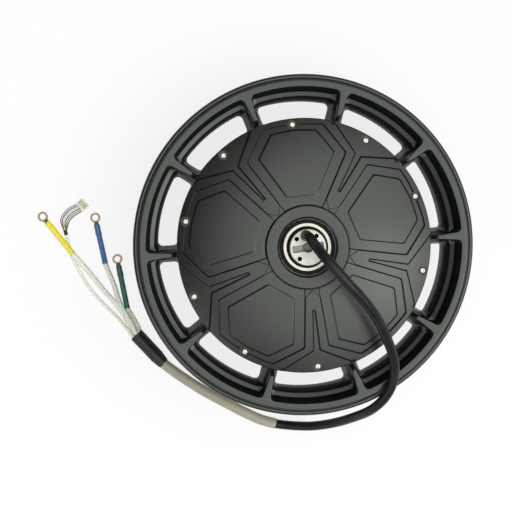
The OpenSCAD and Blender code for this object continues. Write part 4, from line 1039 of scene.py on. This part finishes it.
def end_radius(share, angles):
    return HALL_END_R + 0.12 * np.sin(share * 16) + 0 * angles


end_tube = tube(end_line, end_radius, 24, side=(0, 1, 0))
end_tube.place(end_frame(HALL[-1], HALL_END_TURN))
end_tube_piece = piece_from(end_tube, "hall_end_shrunk", "hall_end_tube", "stator", "boot_black", sharp=60)

# %% [markdown]
# The ivory plug is moulded: a tray with two side walls, five thin walls between the contacts, a
# bridge over them and four small grips. A moulded part has rounded edges everywhere. A cube with a
# Bevel modifier would do for each block. A block here is six rings of a rounded section, drawn in
# at both ends, so that it comes with its edges already round.
# %% A moulded block with rounded edges
def block(low, high, edge=0.25):
    """A box with rounded edges, as rings of a rounded section along X."""
    (x0, y0, z0), (x1, y1, z1) = low, high
    rings = []
    for x, inset in ((x0, edge), (x0 + edge * 0.3, edge * 0.3), (x0 + edge, 0),
                     (x1 - edge, 0), (x1 - edge * 0.3, edge * 0.3), (x1, edge)):
        corners = [(y0 + inset, z0 + inset), (y1 - inset, z0 + inset),
                   (y1 - inset, z1 - inset), (y0 + inset, z1 - inset)]
        ring = []
        for k, (y, z) in enumerate(corners):
            cy, cz = y + (edge if k in (0, 3) else -edge), z + (edge if k < 2 else -edge)
            bend = np.radians(np.linspace(180, 270, 4) + 90 * k)
            ring += [(x, cy + edge * math.cos(a), cz + edge * math.sin(a)) for a in bend]
        rings.append(ring)
    return Shape().grid(rings).cap(rings[0], flip=True).cap(rings[-1])


print("a moulded block has", len(block((0, 0, 0), (2, 2, 2)).faces), "faces")

# %% [markdown]
# The plug could be carved out of one block. Blocks that run a little into each other look the same
# from outside, and each keeps its rounded edges. They are listed by their two corners, in the
# plug's own frame, where +X runs on from the wires. The contacts lie in the tray, one for each
# wire: a crimp and a narrow tongue of brass.
# %% Mould the plug and lay in its contacts
PLUG_TURN = 35
PLUG_BLOCKS = (((0, -6.25, -3), (9, -5.0, 3)), ((0, 5.0, -3), (9, 6.25, 3)), ((0, -5.2, -3), (9, 5.2, -1.0)),
               ((0, -5.2, 1.0), (2.2, 5.2, 2.4)), ((2.2, -5.2, 0.8), (7.0, 5.2, 3)),
               ((7.4, -6.2, -3), (9, 6.2, -0.9)), ((7.4, -6.2, 1.0), (9, 6.2, 2.8)))
plug_frame = end_frame(WIRE_LINE[-1], PLUG_TURN)
plug, contacts = Shape(), Shape()
for low, high in PLUG_BLOCKS:
    plug.merge(block(low, high))
for y in (np.arange(5) - 2) * 2.0:
    plug.merge(block((0.1, y - 0.28, -1.2), (8.8, y + 0.28, 1.3), edge=0.1))
for y in (np.arange(4) - 1.5) * 2.6:
    plug.merge(block((2.6, y - 0.45, 2.8), (6.6, y + 0.45, 3.0), edge=0.08))
plug.place(plug_frame)
plug_piece = piece_from(plug, "hall_plug_housing", "hall_plug", "stator", "plug_ivory", sharp=45)
for y in (np.arange(WIRES) - (WIRES - 1) / 2) * WIRE_PITCH:
    contacts.merge(block((0.2, y - 0.55, -0.65), (2.4, y + 0.55, 0.6), edge=0.2))
    contacts.merge(block((2.4, y - 0.35, -0.45), (6.2, y + 0.35, 0.35), edge=0.12))
contacts.place(plug_frame)
contact_piece = piece_from(contacts, "hall_plug_contacts", "hall_plug_pins", "stator", "pin_brass", sharp=45)

# %% [markdown] Each free cord's length is printed, with what is on its end.
def declare(name, **facts):
    line, radius, piece = cords[name]
    path = (line * MM).tolist()
    2 * radius * MM
    print(name, "is", round(length_of(line)), "mm long and ends in a", facts["far_end"])


sleeve_piece = cords["cable_sleeve"][2]
declare("cable_jacket", far_end="fitting", stiffness="stiff", with_pieces=[sleeve_piece, boot_piece])
for colour in MARKERS:
    declare(f"lead_{colour}", far_end="connector", stiffness="medium", with_pieces=ends[colour])
declare("hall_lead", far_end="fitting", stiffness="medium", with_pieces=[end_tube_piece])
for k in range(1, WIRES + 1):
    declare(f"hall_wire_{k}", far_end="plug", stiffness="limp", with_pieces=[plug_piece, contact_piece])

# %% [markdown]
# A finish in Blender is a small network of nodes. It can be wired by hand in the editor. In a
# script that gets long, so a value here is one output of a node, and arithmetic on it adds the
# nodes: a + b makes an Add node. Numbers alone are worked out in Python, and colours go through
# Mix.
# %% A value that adds nodes by arithmetic
class Value:
    """One output of a finish's node, with arithmetic that adds Math nodes."""

    tree = None

    def __init__(self, socket):
        self.socket = socket

    @classmethod
    def node(cls, kind, inputs=(), output=0, **settings):
        made = cls.tree.nodes.new("ShaderNode" + kind)
        for name, value in settings.items():
            setattr(made, name, value)
        for key, value in dict(inputs).items():
            if isinstance(value, cls):
                cls.tree.links.new(value.socket, made.inputs[key])
            else:
                made.inputs[key].default_value = value
        return cls(made.outputs[output]) if made.outputs else made

    def math(self, operation, other=0.0, flip=False):
        return self.node("Math", enumerate((other, self) if flip else (self, other)), operation=operation)

    def __add__(self, other): return self.math("ADD", other)
    def __sub__(self, other): return self.math("SUBTRACT", other)
    def __mul__(self, other): return self.math("MULTIPLY", other)
    def __truediv__(self, other): return self.math("DIVIDE", other)
    def __pow__(self, other): return self.math("POWER", other)
    def __rsub__(self, other): return self.math("SUBTRACT", other, flip=True)
    def __rtruediv__(self, other): return self.math("DIVIDE", other, flip=True)
    __radd__, __rmul__ = __add__, __mul__

    def clipped(self, low=0.0, high=1.0):
        return self.math("MAXIMUM", low).math("MINIMUM", high)

    def step(self, low, high):
        """Rises from 0 at low to 1 at high."""
        return ((self - low) / (high - low)).clipped()


print("a value's arithmetic:", *[name for name in vars(Value) if name.startswith("__r")], "and their like")

# %% [markdown]
# Most finishes start from a place on the object, one of its coordinates, and noise at some scale.
# Image textures could give such detail. Noise in the object's own coordinates needs no file and has
# no seams, and its scale says how many grains go into a metre.
# %% Places and noise
def place_of(kind="Object"):
    return Value.node("TexCoord", output=kind)


def part_of(vector, axis):
    return Value.node("SeparateXYZ", {0: vector}, output="XYZ".index(axis))


def noise(vector, scale, detail=3.0, rough=0.5):
    return Value.node("TexNoise", {"Vector": vector, "Scale": scale, "Detail": detail, "Roughness": rough},
                      output="Fac")


print("noise of scale 500 has grains of about", 1 / MM / 500, "mm")

# %% [markdown]
# A finish mixes two colours by some share, and dents the surface by a bump whose depth is given in
# millimetres. What changes over the surface comes from a function of nodes. What is the same
# everywhere is set on the shader itself, so that it survives the export of the model.
# %% Colours, bumps and whole finishes
def mixed(share, a, b):
    colour = [(*c, 1.0) if isinstance(c, tuple) else c for c in (a, b)]
    return Value.node("Mix", {0: share, 6: colour[0], 7: colour[1]}, 2, data_type="RGBA")


def bumped(height, depth_mm, strength=1.0):
    return Value.node("Bump", {"Height": height, "Distance": depth_mm * MM, "Strength": strength})


finishes = {}


def finish(name, build, **constants):
    """A finish. build() gives the sockets that vary, and the constants are set on the shader itself."""
    finishes[name] = bpy.data.materials.new(name)
    finishes[name].use_nodes = True
    Value.tree = finishes[name].node_tree
    Value.tree.nodes.clear()
    Value.node("OutputMaterial", {"Surface": Value.node("BsdfPrincipled", {**constants, **build()})})
    print(name, "has", len(Value.tree.nodes), "nodes")


# %% [markdown]
# Rim and lids are painted in satin black over the raw casting. Such paint is almost black itself,
# and what the eye sees is its sheen, a little greenish here. So the colour is very dark, the
# reflection is a bit stronger than usual, and fine grain and slow waves in roughness and bump break
# it up. Some dust lightens it. A brighter colour would look flat, and wrong under other light.
# %% Satin paint on rim and lids
def cast_paint(base, sheen, rough, grain):
    """Satin paint over a casting: a fine grain, slow waves, and a little dust in the light parts."""
    def build():
        at = place_of()
        fine, slow = noise(at, 2600.0, 3.0, 0.6), noise(at, 38.0, 4.0, 0.55)
        speck = noise(at, 900.0, 2.0).step(0.62, 0.74)
        return {"Base Color": mixed((slow * 0.7 + speck * 0.35).clipped(), base, sheen),
                "Roughness": (rough - 0.05) + slow * 0.10 + fine * 0.06,
                "Normal": bumped(fine + slow * 0.8, grain, 0.55)}
    return build


PAINT_GLOSS = {"Specular IOR Level": 0.75, "Specular Tint": (0.93, 1.0, 0.91, 1.0)}
finish("rim_black", cast_paint((0.005, 0.006, 0.0055), (0.010, 0.012, 0.0105), 0.27, 0.035), **PAINT_GLOSS)
finish("lid_black", cast_paint((0.007, 0.008, 0.0068), (0.013, 0.0145, 0.012), 0.27, 0.030), **PAINT_GLOSS)

# %% [markdown]
# The axle, the bearings' rings and the magnets' ring are turned steel. A lathe tool leaves fine
# rings round the axis. Anisotropy could streak the sheen, but it needs a tangent that runs round
# every ring. Noise that changes only with the distance from the axis, used in bump and roughness,
# looks much the same and needs nothing else.
# %% Turned steel
def turned_steel(base, dark, rough, rings=2600.0):
    """Turned metal: fine rings round the axle's line, with a slow stain and a few scratches."""
    def build():
        at = place_of()
        x, y, z = (part_of(at, axis) for axis in "XYZ")
        r = (x ** 2.0 + y ** 2.0) ** 0.5
        rings_at = Value.node("CombineXYZ", {0: r * rings, 1: z * rings * 0.4})
        lines, slow = noise(rings_at, 1.0, 2.0), noise(at, 120.0, 3.0)
        scratched_at = Value.node("CombineXYZ", {0: x * 900.0, 1: y * 60.0, 2: z * 60.0})
        scratch = noise(scratched_at, 1.0, 3.0).step(0.66, 0.72)
        return {"Base Color": mixed((slow.step(0.35, 0.75) * 0.6 + scratch * 0.3).clipped(), base, dark),
                "Roughness": rough + lines * 0.10 + slow * 0.06,
                "Normal": bumped(lines, 0.02, 0.5)}
    return build


finish("bearing_steel", turned_steel((0.52, 0.515, 0.44), (0.40, 0.39, 0.32), 0.28), Metallic=1.0)
finish("ring_iron", turned_steel((0.25, 0.25, 0.26), (0.15, 0.15, 0.16), 0.4), Metallic=1.0)

# %% [markdown]
# The axle is the same steel, but its tapped holes, its key slot and the groove beside the bearing
# are painted dark, for oil and for the shade that falls in them. The holes belong to the solid and
# could each get a finish of their own. Here the depth below the end face darkens the steel as
# painted shade, and nothing has to be picked by hand.
# %% The axle's steel with painted shade in its holes
HOLES_WITHIN_R, GROOVE_FROM_R, GROOVE_TO_R = 20.0, 20.5, 22.5
# The colour of oil mixed with painted shade, which the holes, slot and groove are darkened to.
OIL_AND_PAINTED_SHADE = (0.015, 0.014, 0.010)


def axle_metal():
    """Turned steel, with oil and painted shade deep in its holes, its slot and the groove by the bearing."""
    bare = turned_steel((0.50, 0.495, 0.44), (0.36, 0.355, 0.30), 0.30)()
    x, y, z = (part_of(place_of(), axis) / MM for axis in "XYZ")
    r = (x ** 2.0 + y ** 2.0) ** 0.5
    deep = MID - (z - MID).math("ABSOLUTE")
    hole = deep.step(0.3, 10.0) * (1.0 - r.step(HOLES_WITHIN_R - 0.4, HOLES_WITHIN_R))
    by_bearing = r.step(GROOVE_FROM_R - 0.2, GROOVE_FROM_R) * (1.0 - r.step(GROOVE_TO_R, GROOVE_TO_R + 0.2))
    # The deeper in a hole, the slot or the groove, the more painted shade, with some oil, is mixed in.
    shade = hole.math("MAXIMUM", deep.step(1.0, 7.0) * by_bearing)
    return {**bare, "Base Color": mixed(shade, bare["Base Color"], OIL_AND_PAINTED_SHADE),
            "Roughness": bare["Roughness"] + shade * 0.3}


finish("axle_steel", axle_metal, Metallic=1.0)

# %% [markdown]
# The other metals are stamped, ground, plated or cast: key, balls, carrier, magnets, screws,
# terminals and contacts. They need no direction, only an uneven stain in colour and roughness and a
# very fine grain. One helper with other colours and roughness does for all of them.
# %% Plain metals
def plain_metal(base, dark, rough, scale=500.0, grain=0.02):
    """Metal with an uneven stain and a very fine grain."""
    def build():
        at = place_of()
        slow, fine = noise(at, scale, 4.0, 0.6), noise(at, scale * 7.0, 2.0)
        return {"Base Color": mixed(slow.step(0.35, 0.7), base, dark), "Roughness": rough + slow * 0.15,
                "Normal": bumped(fine, grain, 0.4)}
    return build


finish("key_steel", plain_metal((0.35, 0.35, 0.35), (0.22, 0.22, 0.22), 0.35), Metallic=1.0)
finish("ball_steel", plain_metal((0.85, 0.85, 0.85), (0.80, 0.80, 0.80), 0.08), Metallic=1.0)
finish("carrier_aluminium", plain_metal((0.75, 0.76, 0.77), (0.60, 0.61, 0.62), 0.38), Metallic=1.0)
finish("magnet_nickel", plain_metal((0.70, 0.69, 0.66), (0.60, 0.59, 0.56), 0.2), Metallic=1.0)
finish("screw_zinc", plain_metal((0.66, 0.65, 0.56), (0.50, 0.48, 0.39), 0.30, 700.0), Metallic=1.0)
finish("terminal_tin", plain_metal((0.40, 0.31, 0.22), (0.24, 0.18, 0.12), 0.34, 900.0), Metallic=0.8)
finish("pin_brass", plain_metal((0.35, 0.22, 0.08), (0.20, 0.12, 0.05), 0.35), Metallic=0.8)

# %% [markdown]
# The cable's jacket, the seals, the bearings' shields, the sensors, the wires and the plug are
# rubber or moulded plastic. One flat colour on them would look unreal. Both have a fine skin, and a
# colour that is a bit worn in patches, so one helper with other colours does for all. The shields
# and the jacket reflect less than usual, since they look nearly matt beside the steel.
# %% Rubber and moulded plastic
def rubber(base, worn, rough, grain=0.03, scale=1500.0):
    """Rubber or plastic: a fine skin, and slow patches where it is worn."""
    def build():
        at = place_of()
        fine, slow = noise(at, scale, 3.0, 0.6), noise(at, 60.0, 3.0)
        return {"Base Color": mixed(slow.step(0.4, 0.8) * 0.7, base, worn),
                "Roughness": rough + fine * 0.08 + slow * 0.06, "Normal": bumped(fine, grain, 0.5)}
    return build


finish("shield_black", rubber((0.003, 0.003, 0.003), (0.008, 0.008, 0.008), 0.5),
       **{"Specular IOR Level": 0.15})
finish("board_green", rubber((0.02, 0.16, 0.05), (0.03, 0.22, 0.08), 0.35, 0.01))
finish("sensor_black", rubber((0.012, 0.012, 0.012), (0.03, 0.03, 0.03), 0.45))
finish("seal_black", rubber((0.012, 0.012, 0.012), (0.02, 0.02, 0.02), 0.5))
finish("gland_black", rubber((0.010, 0.010, 0.010), (0.02, 0.02, 0.02), 0.5))
finish("jacket_black", rubber((0.006, 0.0072, 0.0065), (0.014, 0.016, 0.0145), 0.33, 0.03, 1200.0),
       **{"Specular IOR Level": 0.35})
finish("plug_ivory", rubber((0.86, 0.84, 0.70), (0.78, 0.74, 0.56), 0.32, 0.01), **{"Coat Weight": 0.2})
WIRE_SHADES = ((0.50, 0.22, 0.28), (0.06, 0.09, 0.16), (0.80, 0.80, 0.74),
               (0.05, 0.20, 0.07), (0.42, 0.28, 0.05), (0.07, 0.035, 0.018))
for name, shade in zip(WIRE_COLOURS, WIRE_SHADES):
    finish(f"wire_{name}", rubber(shade, tuple(0.7 * c for c in shade), 0.3, 0.02))

# %% [markdown]
# The sleeve over the cable's far part is woven from pale, slightly soiled yarn. Its strands run in
# two sets, over and under each other. They are too fine for geometry, so two slanted waves in the
# tube's uv, which counts millimetres along it, make colour and bump.
# %% The woven sleeve
BRAID_ALONG, BRAID_ROUND = 0.55, 20.0


def braid():
    """Two sets of slanted strands, over and under each other along the cable."""
    at = place_of("UV")
    u, v = part_of(at, "X"), part_of(at, "Y")
    one, two = ((u * BRAID_ALONG + v * BRAID_ROUND) * math.pi, (u * BRAID_ALONG - v * BRAID_ROUND) * math.pi)
    a, b = one.math("SINE").math("ABSOLUTE"), two.math("SINE").math("ABSOLUTE")
    over = ((one * 0.5).math("SINE") * (two * 0.5).math("SINE")).step(-0.15, 0.15)
    strand = a * over + b * (1.0 - over)
    soil = noise(place_of(), 55.0, 4.0, 0.6)
    share = (strand.step(0.0, 0.6) * 0.6 + soil * 0.5).clipped()
    return {"Base Color": mixed(share, (0.20, 0.18, 0.13), (0.50, 0.47, 0.36)),
            "Roughness": 0.45 + soil * 0.15, "Normal": bumped(strand, 0.12, 0.6)}


finish("sleeve_pale", braid)

# %% [markdown]
# The leads have soft pale insulation, through which the twist of their strands shows faintly. The
# strands could be modelled, but nobody sees them singly. A slow wave that winds round the tube
# gives their twist, in colour and in a very shallow bump.
# %% Pale insulation
TWIST_ALONG, TWIST_ROUND = 0.16, 3.0


def insulation(base, edge):
    """Pale soft insulation, a little darker and greener where the strands lie deeper."""
    def build():
        at = place_of("UV")
        u, v = part_of(at, "X"), part_of(at, "Y")
        twist = ((u * TWIST_ALONG + v * TWIST_ROUND) * (2 * math.pi)).math("SINE")
        slow = noise(place_of(), 90.0, 3.0)
        return {"Base Color": mixed((twist * 0.22 + slow * 0.6).clipped(), base, edge),
                "Roughness": 0.34 + slow * 0.12, "Normal": bumped(twist * 0.5 + slow, 0.05, 0.4)}
    return build


finish("lead_pale", insulation((0.95, 0.97, 0.84), (0.82, 0.86, 0.70)), **{"Coat Weight": 0.2})

# %% [markdown]
# Shrunk tube wrinkles finely across its length as it cools, and has a soft sheen. A regular wave
# would look as if it were turned on a lathe. Noise that changes fast along the tube and slowly
# round it looks like wrinkles. The black tubes and the yellow, blue and green ones are the same
# stuff in other colours.
# %% Shrunk tube
def shrunk(base, dark, rough=0.4, ridges=0.10):
    """Shrunk tube: fine wrinkles across it, and a soft sheen."""
    def build():
        at = place_of("UV")
        u, v = part_of(at, "X"), part_of(at, "Y")
        wrinkle = noise(Value.node("CombineXYZ", {0: u * 0.9, 1: v * 3.0}), 1.0, 3.0, 0.6)
        slow = noise(place_of(), 160.0, 3.0)
        return {"Base Color": mixed(slow.step(0.35, 0.75) * 0.6, base, dark),
                "Roughness": rough + wrinkle * 0.14, "Normal": bumped(wrinkle, ridges, 0.6)}
    return build


finish("boot_black", shrunk((0.011, 0.014, 0.015), (0.018, 0.022, 0.023), 0.42, 0.12))
finish("marker_yellow", shrunk((0.98, 0.86, 0.05), (0.90, 0.72, 0.03), 0.34))
finish("marker_blue", shrunk((0.07, 0.18, 0.42), (0.035, 0.10, 0.26), 0.34))
finish("marker_green", shrunk((0.03, 0.17, 0.125), (0.016, 0.09, 0.07), 0.34))

# %% [markdown]
# Inside, the stator is a stack of half-millimetre steel sheets with coils of enamelled wire. Sheets
# and turns could be modelled one by one, at the cost of a very heavy model. Both are made of many
# thin layers up the motor's axis, so one wave along Z draws either of them.
# %% Coils and sheet stack
WIRE_PITCH_UP, SHEET_THICK = 0.9 * MM, 0.5 * MM


def layers(waves_per_metre):
    """A wave up the motor's axis, from 0 between two layers to 1 on each."""
    return (part_of(place_of(), "Z") * waves_per_metre).math("SINE").math("ABSOLUTE")


def coil_wire():
    """Enamelled wire: turns laid side by side up each coil, with painted shade between the turns."""
    turns, slow = layers(2 * math.pi / WIRE_PITCH_UP), noise(place_of(), 200.0, 3.0)
    # The wave paints shade into the grooves between turns, and the copper's own colour on each turn.
    return {"Base Color": mixed(turns * 0.7 + slow * 0.3, (0.25, 0.07, 0.02), (0.72, 0.30, 0.10)),
            "Roughness": 0.3 + slow * 0.1, "Normal": bumped(turns, 0.2, 0.8)}


def sheet_stack():
    """The edges of many thin steel sheets."""
    sheets, slow = layers(math.pi / SHEET_THICK), noise(place_of(), 150.0, 3.0)
    return {"Base Color": mixed(sheets, (0.08, 0.08, 0.09), (0.32, 0.33, 0.35)),
            "Roughness": 0.4 + slow * 0.2, "Normal": bumped(sheets, 0.08, 0.5)}


finish("copper", coil_wire, Metallic=0.6)
finish("stack_steel", sheet_stack, Metallic=1.0)

# %% [markdown]
# Solids whose shape is right as it is, such as the axle and all that lies inside, stay and only get
# their finish. The record names the finish of each node, and each piece made here names its own.
# %% Put every finish on its piece
slots = {part["node"]: part["material_slot"] for part in frame["record"]["subparts"]}
for name, node in frame["nodes"].items():
    node.data.materials.clear()
    node.data.materials.append(finishes[slots[name]])
own = [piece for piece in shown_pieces() if "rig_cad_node" not in piece]
for piece in own:
    piece.data.materials.append(finishes[piece["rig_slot"]])
print(len(finishes), "finishes,", len(slots), "nodes,", len(own), "own pieces")

# %% [markdown]
# The motor lies on white paper. Paper that is lit until it looks white would also light the black
# paint from all sides. Instead the camera sees the paper glow by itself for the larger part, as on
# a light table, so it is white and still keeps the soft shadow in the rest. Mirrored rays and rays
# through glass see it glow too, but less: black walls close to the floor would turn grey otherwise.
# %% Lay the white floor
FLOOR_HALF, FLOOR_DROP = 4, 0.0002
FLOOR_GLOW, MIRRORED_GLOW = 0.8, 0.2
floor = bpy.data.objects.new("floor", bpy.data.meshes.new("floor"))
corners = [(x * FLOOR_HALF, y * FLOOR_HALF, 0) for x, y in ((-1, -1), (1, -1), (1, 1), (-1, 1))]
floor.data.from_pydata(corners, [], [(0, 1, 2, 3)])
floor.location.z = cad_box[0][2] - FLOOR_DROP
bpy.context.scene.collection.objects.link(floor)

paper = bpy.data.materials.new("floor_paper")
paper.use_nodes = True
Value.tree = paper.node_tree
Value.tree.nodes.clear()
soft = noise(place_of(), 3.0, 2.0)
sheet = Value.node("BsdfPrincipled", {"Base Color": mixed(soft, (0.93, 0.93, 0.93), (0.96, 0.96, 0.96)),
                                      "Roughness": 0.7 + soft * 0.05})
glow = Value.node("Emission", {"Color": (1, 1, 1, 1), "Strength": 1.0})
seen, mirrored, through = (Value.node("LightPath", output=f"Is {way} Ray")
                           for way in ("Camera", "Glossy", "Transmission"))
glow_share = (seen * FLOOR_GLOW).math("MAXIMUM", mirrored.math("MAXIMUM", through) * MIRRORED_GLOW)
Value.node("OutputMaterial", {"Surface": Value.node("MixShader", {0: glow_share, 1: sheet, 2: glow})})
floor.data.materials.append(paper)
print("the floor lies at", round(floor.location.z * 1000, 2), "mm")

# %% [markdown]
# Satin black shows its form only by what it mirrors. The room is dim, with one very large soft
# light overhead that leans to the right, and the dome mirrors it as a broad sheen that fades to the
# left. An area lamp of that size would light the floor unevenly, so it is a smooth lobe in the
# world. The camera sees white behind the floor's edge. Mirrored rays keep the lobe, because it is
# the sheen.
# %% A dim room with one large soft light
ROOM_LEVEL, SOFTBOX_LEVEL = 0.05, 1.95
SOFTBOX_WAY = Vector((0.30, -0.12, 1.0)).normalized()
SOFTBOX_FADES_AT, SOFTBOX_FULL_AT = math.radians(54), math.radians(28)
world = bpy.data.worlds.new("studio")
bpy.context.scene.world = world
world.use_nodes = True
Value.tree = world.node_tree
Value.tree.nodes.clear()
lean = Value.node("VectorMath", {0: place_of("Generated"), 1: SOFTBOX_WAY}, "Value", operation="DOT_PRODUCT")
softbox = lean.step(math.cos(SOFTBOX_FADES_AT), math.cos(SOFTBOX_FULL_AT))
studio = ROOM_LEVEL + SOFTBOX_LEVEL * softbox * softbox * (3.0 - 2.0 * softbox)
camera_ray = Value.node("LightPath", output="Is Camera Ray")
Value.node("OutputWorld", {"Surface": Value.node("Background", {
    "Color": (1, 1, 1, 1), "Strength": camera_ray + (1.0 - camera_ray) * studio})})
bpy.context.scene.view_settings.view_transform = "Standard"
print("the soft light leans", round(math.degrees(SOFTBOX_WAY.angle(Vector((0, 0, 1))))), "degrees")

# %% [markdown]
# Two lamps join it: a key from the side of the soft light, which draws the soft shadows, and a weak
# fill from the other side, so that the cable and the leads don't sink into the dark. More lamps, or
# smaller ones, would show in the paint as bright spots.
# %% Two lamps
LIT_POINT = Vector((0, 0, 0.05))


def area_light(name, place, size, power):
    light = bpy.data.objects.new(name, bpy.data.lights.new(name, "AREA"))
    light.data.shape, light.data.size, light.data.size_y = "RECTANGLE", size, size
    light.data.energy = power
    light.location = place
    light.rotation_euler = (LIT_POINT - Vector(place)).to_track_quat("-Z", "Y").to_euler()
    bpy.context.scene.collection.objects.link(light)
    print(name, "lamp of", power, "watts at", place)


area_light("key", (1.07, -0.62, 1.5), size=1.0, power=5)
area_light("fill", (-1.2, -0.9, 0.9), size=1.0, power=4)
